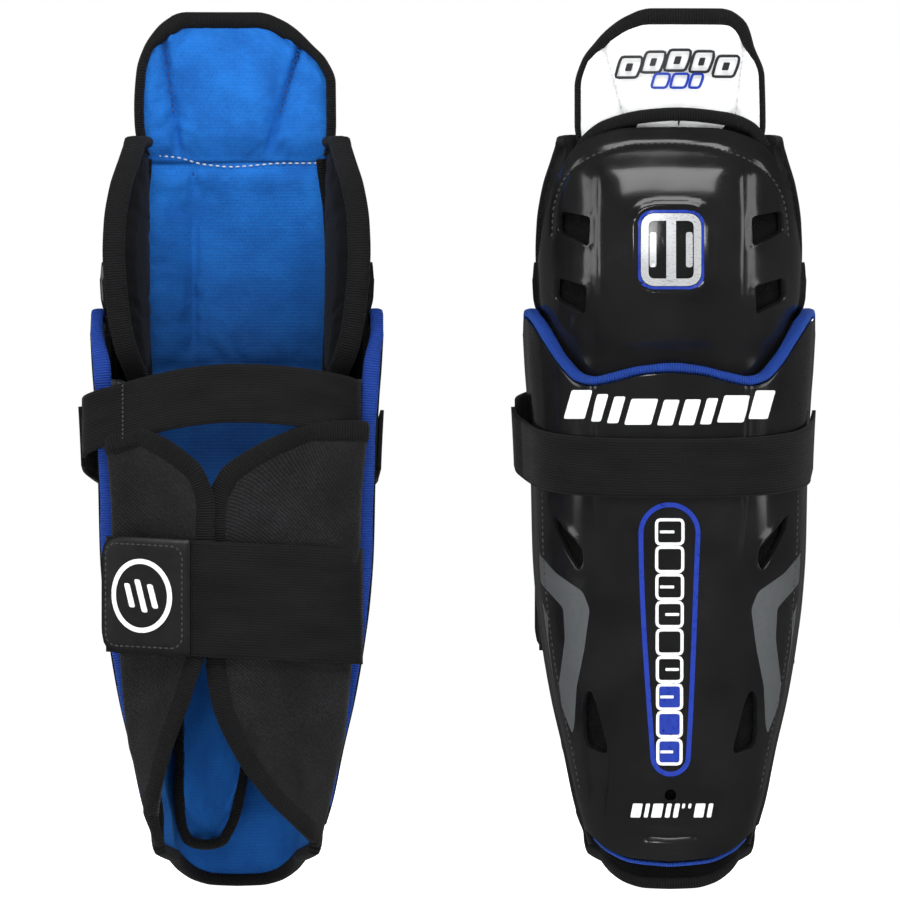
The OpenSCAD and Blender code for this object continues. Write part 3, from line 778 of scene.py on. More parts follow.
def print_patch(name, side, outlines, surface, material, out=0.14, cell=2.5, slots=()):
    """Thin printed shapes on a curved face, from outlines in (x, z), left out over the slots."""
    bm = bmesh.new()
    for outline in outlines:
        face = bm.faces.new([bm.verts.new((x, 0, z)) for x, z in outline])
        face.normal_update()
        if face.normal.y > 0:
            face.normal_flip()
    for axis in (0, 2):
        values = [v.co[axis] for v in bm.verts]
        normal = Vector((1, 0, 0)) if axis == 0 else Vector((0, 0, 1))
        for cut in np.arange(math.floor(min(values) / cell) * cell, max(values), cell):
            bmesh.ops.bisect_plane(bm, geom=bm.verts[:] + bm.edges[:] + bm.faces[:],
                                   plane_co=normal * float(cut), plane_no=normal)
    bm.verts.ensure_lookup_table()
    flat = np.array([v.co[:] for v in bm.verts])
    points, _ = surface(flat[:, 0], flat[:, 2], out)
    faces = [tuple(v.index for v in f.verts) for f in bm.faces]
    bm.free()
    for slot in slots:
        faces = [f for f in faces if outline_distance(*flat[list(f)].mean(axis=0)[[0, 2]], slot)[0] > 1.0]
    return make(name, side, points, faces, None, [material])


def stripe(path, width, closed=False):
    """Quads (as outlines) along a path in (x, z)."""
    p = np.array(path, float)
    ahead = np.roll(p, -1, axis=0) - np.roll(p, 1, axis=0) if closed else np.gradient(p, axis=0)
    across = unit(np.column_stack([-ahead[:, 1], ahead[:, 0]])) * width / 2
    a, b = p + across, p - across
    count = len(p) if closed else len(p) - 1
    return [[a[k], b[k], b[(k + 1) % len(p)], a[(k + 1) % len(p)]] for k in range(count)]


def ring_path(outline, step):
    """Points every step mm round an outline in (x, z), back to its start."""
    closed = np.vstack([outline, outline[:1]])
    return resample(np.column_stack([closed, np.zeros(len(closed))]), step)[:, :2]


def outlined(outline, step, width):
    return stripe(ring_path(outline, step)[:-1], width, closed=True)


# ------------------------------------------------------------------ the shin
foam_in = curve((0, 4.2), (20, 4.2), (36, 6.5), (200, 6.5), (215, 4.6), (270, 4.6))


def shin_point(s, v, inset=0.0, grow=0.0):
    s, v = np.broadcast_arrays(np.asarray(s, float), np.asarray(v, float))
    x0 = np.abs(section(s, 64.5, 60, 10)[0])
    top = shell_top(x0) + grow - 7 * smooth(np.abs(s), 0.9, 1)
    z = mix(shell_bottom(x0 * 0.62) - grow, top, v)
    inset = inset(z) if callable(inset) else inset
    x, y = section(s, shin_w(z) - inset, shin_f(z) - inset, shin_e(z) + grow, centre_y(z))
    return np.stack([x, y, z], -1)


def outward(place, s, v, inset=2.0):
    """Unit vectors out of a wall given as place(s, v, inset)."""
    return unit(place(s, v, inset) - place(s, v, inset + 1.0))


def build_shell(side):
    body = f"{side}_shin"
    shell = hard_wall(f"{side}_shell", side, shin_point, shin_w, shin_f, centre_y, shin_relief,
                      SHIN_SLOTS + [VENT], 146, 128, 2.6)
    ride_and_slot(shell, body, "shell_plastic", f"{side}_shin_shell")
    s, v = np.linspace(-1, 1, 71)[None, :], np.linspace(0, 1, 46)[:, None]
    reach = 2 - 3.5 * smooth(v, 0.9, 1.0) * smooth(-np.abs(s), -0.95, -0.85)
    layer = slab(f"{side}_foam_layer", side, shin_point(s, v, 3.0, reach), shin_point(s, v, foam_in, reach),
                 [BLACK_FOAM, WHITE_FOAM], (0, 1, 1))
    ride_and_slot(layer, body, "foam", f"{side}_shell_foam")

    lift, inset = 2.4, 3.0
    back_v = np.linspace(0.05, 0.93, 24)
    top_s = np.linspace(-0.99, 0.99, 70)
    s_path = np.r_[np.full(24, -1.0), top_s, np.full(24, 1.0)]
    v_path = np.r_[back_v, np.ones(70), back_v[::-1]]
    on_top = np.r_[np.zeros(24), np.ones(70), np.zeros(24)]
    path = shin_point(s_path, v_path, inset + 1.7 * (1 - on_top), 2 - 1.9 * on_top)
    path[:, 1] += lift * (1 - on_top)
    path[:, 2] += lift * on_top
    normal = outward(shin_point, s_path, v_path, inset)
    t = lengths(path)
    even = np.linspace(0, t[-1], int(t[-1] / 1.6))
    path = along(path, even)
    normal = unit(np.column_stack([np.interp(even, t, normal[:, k]) for k in range(3)]))
    behind = np.interp(even, t, 1 - on_top)
    crease = 0.5 * np.sin(path[:, 2] / 2.3) * np.exp(-((path[:, 2] - 212) / 15) ** 2) * behind
    path[:, 1] += crease + 0.25 * np.sin(path[:, 2] / 5.3) * behind
    rings = ribbon_tube(path, normal, 2.9 + 1.0 * behind + 0.15 * np.sin(even / 6.1),
                        2.2 + 0.15 * np.sin(even / 4.3 + 1), 14)
    edge = tube(f"{side}_shell_edging", side, rings, [BLUE_BINDING])
    ride_and_slot(edge, body, "blue_binding", f"{side}_shell_binding")

    s_low = np.linspace(-0.6, 0.6, 60)
    low = shin_point(s_low, np.zeros(60), 2.4, 1.5)
    low_rings = ribbon_tube(low, outward(shin_point, s_low, np.zeros(60)), 1.7, 1.0, 10)
    hem = tube(f"{side}_shell_hem", side, low_rings, [BLUE_BINDING])
    ride_and_slot(hem, body, "blue_binding")

    for k, sign in enumerate((-1, 1)):
        z = np.linspace(196, 47, 90)
        x = sign * (shin_w(z) * 0.955 - 0.8)
        points, normals = on_shin(x, z, 0.05)
        row = stitches(f"{side}_shell_stitches_{k}", side, points, normals, BLACK_THREAD, 3.0, 2.0, 0.34)
        ride_and_slot(row, body, "black_fabric")


def clip_to_shin(outline):
    p = np.array(outline, float)
    limit = 0.975 * shin_w(p[:, 1])
    p[:, 0] = np.clip(p[:, 0], -limit, limit)
    return p


def leaning_bar(x, z, width, height, lean=0.28, radius=0.8):
    shift = lean * height / 2
    w, h = width / 2, height / 2
    return rounded([(x - w - shift, z - h), (x + w - shift, z - h), (x + w + shift, z + h),
                    (x - w + shift, z + h)], radius, 3)


def build_prints(side):
    def printed(what, outlines, material, out, cell, slot, cut=()):
        patch = print_patch(f"{side}_print_{what}", side, outlines, on_shin, material, out, cell, cut)
        ride_and_slot(patch, f"{side}_shin", slot)

    turn = np.linspace(0, math.pi, 16)
    head = np.column_stack([-0.6 + 12.9 * np.cos(turn), 163.6 + 12.9 * np.sin(turn)])
    foot = np.column_stack([-8.0 * np.cos(turn), 61 - 8.0 * np.sin(turn)])
    pill = outlined(np.vstack([head, foot]), 2.0, 2.2)
    printed("ring", pill, BLUE_INK, 0.2, 1.8, "blue_binding")

    blocks, fills, z, pitch = [], [], 169.6, 12.6
    for k in range(9):
        w, h = float(np.interp(z, [60, 167], [5.2, 6.0])), pitch - 1.5
        block = rounded([(-w - 0.5, z - h), (w - 0.5, z - h), (w - 0.5, z), (-w - 0.5, z)], 2.0, 4)
        blocks += outlined(block, 1.1, 1.4)
        middle = z - h / 2
        if k % 3 != 1:
            blocks.append(leaning_bar(-0.5 + (1.2 if k % 2 else -1.2), middle, w * 1.1, 1.3, 0, 0.3))
        if k >= 6:
            fills.append(block)
        z -= pitch
    printed("blocks", blocks, WHITE_INK, 0.24, 1.8, "emblem_print")
    printed("fills", fills, BLUE_INK, 0.16, 1.8, "blue_binding")

    bars, x = [], -47.0
    for width in (9.5, 5, 5, 12, 7, 7, 5, 12, 9):
        middle = x + width / 2
        bars.append(leaning_bar(middle, 218.6 + 0.0021 * middle ** 2, width, 11.7 + 0.0008 * middle ** 2))
        x += width + 2.7
    printed("band", bars, WHITE_INK, 0.26, 1.5, "emblem_print")

    small, x = [], -17.4
    for width in (4.4, 1.8, 4.6, 2.2, 2.2, 1.3, 1.3, 4.4, 2.0):
        tall = 6.4 if width > 1.5 else 2.2
        small.append(leaning_bar(x + width / 2, 36.3 + (6.4 - tall) / 2, width, tall, 0.18, 0.5))
        x += width + 1.5
    printed("size", small, WHITE_INK, 0.22, 1.5, "emblem_print")

    wide = [(-62, 166), (-60, 154), (-52.4, 145), (-40, 136.5), (-36.9, 128.5), (-39.4, 110), (-42.9, 93),
            (-43.7, 76),
            (-44.6, 71), (-49.8, 84), (-51, 94), (-48.2, 115), (-49, 129), (-58.5, 139.5), (-62.5, 146.5)]
    narrow = [(-61, 134), (-56, 126), (-55.6, 113.6), (-52.8, 90), (-50.4, 72), (-55, 90), (-58.2, 108),
              (-60.5, 122)]
    pieces = []
    for shape in (wide, narrow):
        other = [(-x, z) for x, z in reversed(shape)]
        pieces += [clip_to_shin(rounded(shape, 2)), clip_to_shin(rounded(other, 2))]
    printed("chevrons", pieces, GREY_INK, 0.12, 1.3, "shell_plastic", SHIN_SLOTS)


# ------------------------------------------------------------------ ankle and comfort liner
ankle_edge = curve((0, 0.0), (14, 0.4), (25, 2.6), (32, 6.4), (37, 12), (40, 20))


def base_point(s, z, inset):
    flare = 2 + 4 * smooth(-z, -60, -18)
    x, y = section(s, shin_w(z) - inset, shin_f(z) - inset, 8 - centre_y(z), centre_y(z), flare)
    return np.stack(np.broadcast_arrays(x, y, z), -1)


def build_ankle(side):
    body = f"{side}_shin"
    s, v = np.linspace(-0.97, 0.97, 75)[None, :], np.linspace(0, 1, 34)[:, None]
    x0 = np.abs(section(s, 37, 33, 10)[0])
    z = mix(ankle_edge(x0) + 3.4, 100, v)
    swelling = 0.9 * np.exp(-((z - ankle_edge(x0) - 9) / 4) ** 2)
    outer = base_point(s, z, foam_in(z) + 1.2 - swelling)
    inner = base_point(s, z, foam_in(z) + 3.8)
    lining = slab(f"{side}_ankle_lining", side, outer, inner, [BLACK_MESH, BLUE_MESH], (0, 1, 0))
    ride_and_slot(lining, body, "black_fabric", f"{side}_base_liner")
    s = np.linspace(-0.97, 0.97, 130)
    s = np.r_[np.full(30, -0.98), s, np.full(30, 0.98)]
    climb = np.r_[np.linspace(1, 0, 30), np.zeros(130), np.linspace(0, 1, 30)]
    z = ankle_edge(np.abs(section(s, 37, 33, 10)[0])) + 2.9 + 52 * climb
    path = base_point(s, z, foam_in(z) + 2.4) + np.stack([0 * z, 1.6 * smooth(climb, 0, 0.2), 0 * z], -1)
    out = unit(base_point(s, z, 4.0) - base_point(s, z, 5.0))
    length = lengths(path)
    even = np.linspace(0, length[-1], int(length[-1] / 1.6))
    path = along(path, even)
    out = unit(np.column_stack([np.interp(even, length, out[:, k]) for k in range(3)]))
    rim = tube(f"{side}_ankle_edging", side, ribbon_tube(path, out, 3.0, 2.9, 14), [BLACK_BINDING])
    ride_and_slot(rim, body, "black_fabric", f"{side}_ankle_rim")


def liner_point(s, z, inset):
    s, z = np.broadcast_arrays(np.asarray(s, float), np.asarray(z, float))
    x = liner_x(z) + s * (liner_hw(z) - 0.1 * np.asarray(inset))
    y = -(liner_f(z) - inset - liner_drop(z) * np.abs(s) ** 2.2)
    return np.stack([x, y, z], -1)


LINER_TOP = 336.0


def build_liner(side):
    rows, cols = 112, 61
    s, z = np.linspace(-1, 1, cols)[None, :], np.linspace(21, LINER_TOP, rows)[:, None]
    near_edge = smooth(1 - np.abs(s), 0, 0.22)
    ends = smooth(LINER_TOP - z, 0, 11) * smooth(z, 20, 27)
    x = liner_x(z) + s * liner_hw(z)
    seam = np.exp(-((x + 21) / 1.8) ** 2) * smooth(z, 244, 252) * smooth(-z, -334, -328)
    quilt = np.exp(-((z - 239) / 3.2) ** 2)
    thick = 3.0 + (3.6 + 3.0 * near_edge) * ends - 3.8 * seam - 2.0 * quilt
    centre = 4.5 - 0.9 * (1 - ends)
    front = liner_point(s, z, centre - thick / 2 + 0 * s)
    leg = liner_point(s, z, centre + thick / 2 + 0 * s)
    points = np.vstack([front.reshape(-1, 3), leg.reshape(-1, 3)])
    faces, _ = slab_faces(rows, cols)
    held = np.zeros((2, rows, cols))
    held[:, :, [0, 1, -2, -1]] = 1
    held[:, [0, 1, -2, -1], :] = 1
    held[0] = np.maximum(held[0], 0.4)
    held = np.maximum(held, np.broadcast_to(np.clip(seam + quilt, 0, 1) > 0.45, held.shape).astype(float))
    points = swell(points, faces, held.ravel(), 3.0, 26, 1.7)
    uv = np.vstack([arc_uv(front), arc_uv(leg)])
    liner = make(f"{side}_comfort_liner", side, points, faces, uv, [BLUE_MESH])
    bend = to_frame(side, [(0, -20, 228), (0, -20, 250)])
    bodies = f"{side}_shin", f"{side}_knee"
    blend_and_slot(liner, bodies, bend, "blue_mesh", f"{side}_shin_liner", f"{side}_knee_liner")

    heights = np.linspace(LINER_TOP, 24, 90)
    left = liner_point(-1, heights, 4.6) + np.array([-0.6, 0, 0])
    right = liner_point(1, heights[::-1], 4.6) + np.array([0.6, 0, 0])
    turn = np.linspace(0, math.pi, 9)[1:-1]
    half = (right[0, 0] - left[-1, 0]) / 2
    under = np.column_stack([(left[-1, 0] + right[0, 0]) / 2 - half * np.cos(turn), np.full(7, left[-1, 1]),
                             24 - 4.4 * np.sin(turn)])
    path = resample(np.vstack([left, under, right]), 1.7)
    rings = ribbon_tube(path, TO_LEG, 4.9, 2.5, 14)
    binding = tube(f"{side}_liner_edging", side, rings, [BLACK_BINDING])
    bindings = f"{side}_shin_liner_binding", f"{side}_knee_liner_binding"
    blend_and_slot(binding, bodies, bend, "black_binding", *bindings)

    t = np.linspace(0, 1, 60)
    zs = mix(253, 329, t)
    seam_s = (-21 - liner_x(zs)) / liner_hw(zs)
    points = liner_point(seam_s, zs, 4.5 + 2.1)
    row = stitches(f"{side}_liner_seam", side, points, TO_LEG, BLUE_THREAD, 3.2, 2.2, 0.4)
    ride_and_slot(row, f"{side}_knee", "blue_mesh")


# ------------------------------------------------------------------ calf wraps
medial_free = curve((18, 40), (25, 35.5), (32, 29), (46, 15.6), (66, 2), (87, -7), (105, -9.3), (180, -9.3),
                    (190, -6), (206, 6))
lateral_free = curve((18, -38.6), (25, -38), (41, -36), (64, -31), (92, -20.5), (110, -14), (128, -11),
                     (174, -10.5), (190, -14), (205, -22))
medial_top = curve((0, 211), (0.3, 213), (0.55, 212.5), (0.75, 207), (0.9, 196), (1, 178))
lateral_top = curve((0, 203), (0.3, 208), (0.55, 210), (0.78, 205), (0.92, 195), (1, 180))
WRAP_FOOT = 20
TUCK = 0.16


def wrap_point(kind, u, z, out, past=0.0):
    """Point of a calf wrap: u is 0 on its hinge line, 1 at its free edge, negative inside the shell."""
    u, z, out = np.broadcast_arrays(np.asarray(u, float), np.asarray(z, float), np.asarray(out, float))
    hx, hy = np.minimum(hinge_x(z), shin_w(z) - 1.5), hinge_y(z)
    swelling = (5.6 if kind == "medial" else 5.0) * mix(0.25, 1, smooth(z, 40, 120))
    out = out + swelling * np.exp(-((u - 0.2) / 0.17) ** 2)
    free = -medial_free(z) if kind == "medial" else lateral_free(z)
    end = math.pi / 2 + np.arcsin(np.clip((free + past) / hx, -0.99, 0.99))
    a = np.maximum(u, 0) * end
    x = (hx + out) * np.cos(a)
    y = hy + (calf_back(z) - hy + out) * np.sin(a) ** 0.9
    inside = np.clip(-u / TUCK, 0, 1)
    x, y = x - 0.5 * inside, y - 13 * inside
    return np.stack([x if kind == "medial" else -x, y, z], -1)


def build_wrap(side, kind):
    body = f"{side}_{kind}_wrap"
    top_of = medial_top if kind == "medial" else lateral_top
    past = 3.5 if kind == "medial" else 0.5
    raised = 0.0 if kind == "medial" else 2.6

    def out_at(u, z):
        over = raised * smooth(u, 0.5, 0.93) * smooth(z, 84, 104)
        billow = 0.8 * np.sin(np.clip(u, 0, 1) * math.pi) * np.sin((z - 27) / 60) ** 2
        return over + billow + 0.35 * np.sin(z / 11 + u * 5)

    rows, cols = 92, 66
    u = np.linspace(-TUCK, 0.97, cols)[None, :]
    top = top_of(np.clip(u, 0, 1)) - 3.5
    foot = WRAP_FOOT
    z = mix(foot, top, np.linspace(0, 1, rows)[:, None])
    out = out_at(u, z)
    outer, inner = wrap_point(kind, u, z, out + 1.4, past), wrap_point(kind, u, z, out - 1.4, past)
    if kind == "lateral":
        outer, inner = outer[:, ::-1], inner[:, ::-1]
    wrap = slab(f"{side}_{kind}_calf_wrap", side, outer, inner, [BLACK_TWILL])
    hinge = (np.array(HINGE_LOW) + HINGE_HIGH) / 2
    across = np.array([-0.0042, 0.995, -0.0705])
    sign = np.array([1 if kind == "medial" else -1, 1, 1])
    bend = to_frame(side, [(hinge - 6 * across) * sign, (hinge + 6 * across) * sign])
    anchors = [f"{side}_wrap_anchors"] if kind == "medial" else []
    blend_and_slot(wrap, (f"{side}_shin", body), bend, "black_fabric", f"{side}_{kind}_wrap", *anchors)

    u_top = np.linspace(0.0, 0.93, 40)
    z_free = np.linspace(174, WRAP_FOOT, 70)
    u_path = np.r_[u_top, np.full(70, 1.0)]
    z_path = np.r_[top_of(u_top) - 2.6, z_free]
    coarse = np.column_stack([u_path, z_path])
    line = wrap_point(kind, u_path, z_path, out_at(u_path, z_path), past - 3.6 * (u_path >= 1))
    length = lengths(line)
    even = np.linspace(0, length[-1], int(length[-1] / 1.7))
    line = along(line, even)
    u_even, z_even = np.interp(even, length, coarse[:, 0]), np.interp(even, length, coarse[:, 1])
    normal = unit(wrap_point(kind, u_even, z_even, 2.0, past) - wrap_point(kind, u_even, z_even, 0.0, past))
    inward = np.cross(normal, unit(np.gradient(line, axis=0)))
    rings = ribbon_tube(line, inward, 4.9, 2.35, 14)
    binding = tube(f"{side}_{kind}_wrap_edging", side, rings, [BLACK_BINDING])
    if kind == "lateral":
        binding.data.flip_normals()
    ride_and_slot(binding, body, "black_binding", f"{side}_{kind}_wrap_binding")


# ------------------------------------------------------------------ straps
def strap_rows(row, heights, thickness, count):
    """Outer and inner grids of a strap: row(dz) gives its middle line, dz above the strap's middle."""
    lines = []
    for dz in heights:
        line = np.array(row(dz), float)
        lines.append(along(line, np.linspace(0, lengths(line)[-1], count)))
    middle = np.array(lines)
    normal = unit(np.cross(unit(np.gradient(middle, axis=1)), unit(np.gradient(middle, axis=0))))
    return middle + normal * thickness / 2, middle - normal * thickness / 2


LOWER_MID = 132.5


def lower_loop(a, dz, out=0.0):
    """Point on the lower strap's loop: a is in degrees from the medial side round the back."""
    a = np.radians(a)
    z = LOWER_MID + dz
    back = calf_back(z) + 2.9 + 2.4 * smooth(a, 1.0, 1.9) + out
    reach = np.where(a < math.pi / 2, 60, 64) + out
    x = reach * np.cos(a)
    y = 20 + (back - 20) * np.clip(np.sin(a), 0, 1) ** 0.9
    return np.stack(np.broadcast_arrays(x, y, z - 0.05 * x), -1)


def build_lower_strap(side):
    body = f"{side}_lower_strap"

    def row(dz):
        loop = lower_loop(np.arange(158, 30, -3.0), dz)
        slope = LOWER_MID + dz - 2.9
        tuck = [(56.4, 27.6, slope), (57.2, 23.0, slope), (55.6, 17.5, slope), (53.4, 10.0, slope)]
        return np.vstack([loop, tuck])[::-1]

    outer, inner = strap_rows(row, np.linspace(-26.5, 26.5, 30), 1.7, 120)
    wave = (0.35 * np.sin(np.linspace(0, 26, 120))[None, :, None]
            * np.sin(np.linspace(0, 5, 30))[:, None, None])
    shift = wave * np.array([0, 1, 0])
    strap = slab(f"{side}_calf_strap", side, outer + shift, inner + shift, [ELASTIC])
    ride_and_slot(strap, body, "elastic", f"{side}_lower_strap")

    arc = np.linspace(108.5, 157, 60)
    line = lower_loop(arc, 0, 2.0)
    place = np.r_[0, np.cumsum(np.linalg.norm(np.diff(line, axis=0), axis=1))]
    length = place[-1]

    def on_tab(p, z, out=0.0):
        p, z = np.broadcast_arrays(np.asarray(p, float), np.asarray(z, float))
        a = np.interp(p, place, arc)
        point = lower_loop(a, z, 2.2 + out)
        return point, unit(lower_loop(a, z, 3.0) - lower_loop(a, z, 2.0))

    rows, cols = 26, 40
    p = np.linspace(0, length, cols)[None, :]
    corner = 9.0
    room = np.clip(corner - (length - p), 0, corner)
    half = 26.8 - corner + np.sqrt(corner ** 2 - room ** 2)
    dz = np.linspace(-1, 1, rows)[:, None] * half
    from_side = 1 - np.abs(np.linspace(-1, 1, rows)[:, None])
    edge = np.minimum(1, from_side * 9) * np.minimum(1, np.minimum(p, length - p) / 2 + 0.15)
    top, _ = on_tab(p, dz, 0.9 + 0.8 * edge)
    under, _ = on_tab(p, dz, -1.0)
    tab = slab(f"{side}_strap_tab", side, top, under, [RUBBER])
    ride_and_slot(tab, body, "tab_rubber", f"{side}_strap_tab")
    hook_p, hook_dz = np.linspace(4, length - 4, 24)[None, :], np.linspace(-22, 22, 14)[:, None]
    hook = slab(f"{side}_hook_tape", side, on_tab(hook_p, hook_dz, -1.1)[0],
                on_tab(hook_p, hook_dz, -2.0)[0], [BLACK_FOAM])
    ride_and_slot(hook, body, "hook_tape", f"{side}_tab_hook")

    border = rounded([(3.2, -23.4), (length - 3.4, -23.4), (length - 3.4, 23.4), (3.2, 23.4)], 6, 6)
    path = ring_path(border, 1.2)
    points, normals = on_tab(path[:, 0], path[:, 1], 1.75)
    seam = stitches(f"{side}_tab_stitches", side, points, normals, BLACK_THREAD, 2.7, 1.9, 0.36)
    ride_and_slot(seam, body, "black_fabric")

    centre = length / 2 + 0.5
    turn = np.linspace(0, 2 * math.pi, 60, endpoint=False)
    ring = stripe(np.column_stack([centre + 13.2 * np.cos(turn), 15.8 * np.sin(turn)]), 2.3, closed=True)
    marks = [leaning_bar(centre + k * 5.4, 0, 2.7, 15 - 4 * abs(k), 0.25, 0.9) for k in (-1, 0, 1)]
    emblem = print_patch(f"{side}_tab_print", side, ring + marks, lambda x, z, out: on_tab(x, z, 1.7 + out),
                         WHITE_INK, 0.15)
    ride_and_slot(emblem, body, "emblem_print", f"{side}_tab_emblem")


UPPER_HALF, UPPER_THICK = 13.5, 1.7
back_strap_z = curve((0, 214), (12, 217.5), (35, 222), (90, 227.5), (150, 217), (180, 211))


def build_upper_strap(side):
    s = np.linspace(-1, 0.95, 110)

    def front(dz):
        z = 193 + 15 * np.abs(s) ** 2.2 + dz
        out = 1.9 + 4.8 * smooth(-s, 0.66, 0.93)
        x, y = section(s, shin_w(z) + out, shin_f(z) + out, 15, centre_y(z))
        return np.column_stack([x, y, z])

    outer, inner = strap_rows(front, np.linspace(-UPPER_HALF, UPPER_HALF, 14), UPPER_THICK, 150)
    band = slab(f"{side}_front_strap", side, outer, inner, [ELASTIC])
    ride_and_slot(band, f"{side}_shin", "elastic", f"{side}_upper_strap_front")

    angle = np.linspace(26, 178, 80)

    def back(dz):
        a = np.radians(angle)
        x = (mix(60.5, 66, smooth(angle, 20, 90)) + 4.4 * smooth(angle, 140, 172)) * np.cos(a)
        y = 16.2 + 27.3 * np.sin(a) ** 0.9
        z = back_strap_z(angle) + dz
        tuck = [(54.6, 10.0, z[0] - 1.5), (55.9, 17.0, z[0] - 1), (56.4, 23.0, z[0] - 0.5)]
        return np.vstack([tuck, np.column_stack([x, y, z])])

    outer, inner = strap_rows(back, np.linspace(-UPPER_HALF, UPPER_HALF, 14), UPPER_THICK, 130)
    loop = slab(f"{side}_back_strap", side, outer, inner, [ELASTIC])
    ride_and_slot(loop, f"{side}_upper_strap", "elastic", f"{side}_upper_strap_back",
                  f"{side}_upper_strap_tab")
    down = np.linspace(-12, 12, 30)
    a = math.radians(141)
    base = np.array([66 * math.cos(a), 16.2 + 27.3 * math.sin(a) ** 0.9])
    out = unit(np.array([math.cos(a), 1.4 * math.sin(a)]))
    points = np.column_stack([np.full(30, base[0] + out[0] * 1.2), np.full(30, base[1] + out[1] * 1.2),
                              back_strap_z(141.0) + down])
    tack = stitches(f"{side}_strap_tack", side, points, np.array([*out, 0.0]), BLACK_THREAD, 2.0, 1.6, 0.4)
    ride_and_slot(tack, f"{side}_upper_strap", "elastic")


# ------------------------------------------------------------------ the knee
def cap_point(s, v, inset=0.0, low=0.0, drop=0.0):
    s, v = np.broadcast_arrays(np.asarray(s, float), np.asarray(v, float))
    x0 = np.abs(section(s, 60.5, 70, 4, 0, 0.3)[0])
    z = mix(cap_bottom(x0) + low, cap_top(x0) - drop - 8 * smooth(np.abs(s), 0.9, 1), v)
    x, y = section(s, cap_w(z) - inset, cap_f(z) - inset, 4, 0, 2.6)
    return np.stack([x, y, z], -1)


def build_cap(side):
    body = f"{side}_knee"
    cap = hard_wall(f"{side}_cap", side, cap_point, cap_w, cap_f, lambda z: 0 * z, cap_relief, CAP_SLOTS, 96,
                    122, 2.6)
    ride_and_slot(cap, body, "shell_plastic", f"{side}_knee_cap")
    s, v = np.linspace(-0.6, 0.6, 46)[None, :], np.linspace(0, 1, 36)[:, None]
    layer = slab(f"{side}_cap_foam", side, cap_point(s, v, 3.1, 20, 4), cap_point(s, v, 8.2, 20, 4),
                 [BLACK_FOAM])
    ride_and_slot(layer, body, "black_foam", f"{side}_knee_foam")

    path = resample([(x, 0, z) for x, z in CAP_STITCH], 1.2)
    points, normals = on_cap(path[:, 0], path[:, 2], 0.15)
    seam = stitches(f"{side}_cap_stitches", side, points, normals, BLACK_THREAD, 3.1, 2.1, 0.42)
    ride_and_slot(seam, body, "black_fabric")

    def badge_box(x, w, h, corner, steps):
        box = [(x - w, BADGE_Z - h), (x + w, BADGE_Z - h), (x + w, BADGE_Z + h), (x - w, BADGE_Z + h)]
        return rounded(box, corner, steps)

    def frame_line(grow, width):
        return outlined(badge_box(0, BADGE_HALF[0] + grow, BADGE_HALF[1] + grow, BADGE_CORNER + grow, 10),
                        1.4, width)

    silver = frame_line(-3.6, 3.4) + [badge_box(0, 2.2, 15, 1.0, 3)]
    silver += [badge_box(x, 1.5, 8, 1.0, 3) for x in (-8.2, 8.2)]
    plate = print_patch(f"{side}_badge_frame", side, silver, on_cap, SILVER, 0.5)
    ride_and_slot(plate, body, "badge_plate", f"{side}_knee_badge")
    keyline = print_patch(f"{side}_badge_keyline", side, frame_line(-1.0, 1.3), on_cap, BLUE_INK, 0.35)
    ride_and_slot(keyline, body, "badge_plate")


wing_out = curve((232, 49), (250, 56), (266, 59), (293, 61), (306, 60.5), (322, 58), (335, 54), (343, 51.5))
wing_back = curve((232, 6), (250, 19), (290, 24), (320, 15), (336, 0), (343, -10))
wing_front = curve((232, -20), (290, -27), (320, -24), (343, -20))


def wing_point(sign, u, z, inset):
    u, z, inset = np.broadcast_arrays(np.asarray(u, float), np.asarray(z, float), np.asarray(inset, float))
    x = mix(50, wing_out(z), u * u) - 2 * smooth(z, 330, 340) * (1 - u) - inset
    return np.stack([sign * x, mix(wing_front(z), wing_back(z), u), z], -1)


def build_wing(side, kind):
    sign = 1 if kind == "medial" else -1
    rows, cols = 58, 22
    u, z = np.linspace(0, 1, cols)[None, :], np.linspace(233, 343, rows)[:, None]
    soft = smooth(u, 0, 0.2) * smooth(1 - u, 0, 0.2) * smooth(z, 233, 243) * smooth(-z, -343, -333)
    outer, inner = wing_point(sign, u, z, 0.6 - 0.5 * soft), wing_point(sign, u, z, 6.2 + 2.6 * soft)
    if sign < 0:
        outer, inner = outer[:, ::-1], inner[:, ::-1]
    faces, _ = slab_faces(rows, cols)
    points = np.vstack([outer.reshape(-1, 3), inner.reshape(-1, 3)])
    held = np.zeros((2, rows, cols))
    held[:, :, [0, -1]] = 1
    held[:, [0, -1], :] = 1
    held[0] = 0.6
    points = swell(points, faces, held.ravel(), 3.0, 20, 1.8)
    uv = np.vstack([arc_uv(outer), arc_uv(inner)])
    wing = make(f"{side}_{kind}_wing", side, points, faces, uv, [BLACK_MESH])
    ride_and_slot(wing, f"{side}_knee", "black_fabric", f"{side}_{kind}_knee_wing")

    heights = np.linspace(233, 341, 60)
    path = wing_point(sign, 1.0, heights, 4.6)
    over = wing_point(sign, np.linspace(0.95, 0.05, 12), 343.5, 4.2)
    path = resample(np.vstack([path, over]), 1.7)
    rings = ribbon_tube(path, SIDEWAYS, 5.2, 2.9, 14)
    edging = tube(f"{side}_{kind}_wing_edging", side, rings, [BLACK_BINDING])
    ride_and_slot(edging, f"{side}_knee", "black_binding")
    line = wing_point(sign, 0.84, np.linspace(240, 334, 50), 7.9)
    cord = tube(f"{side}_{kind}_wing_piping", side, ribbon_tube(line, TO_LEG, 1.1, 1.1, 8), [BLACK_BINDING])
    ride_and_slot(cord, f"{side}_knee", "black_binding")


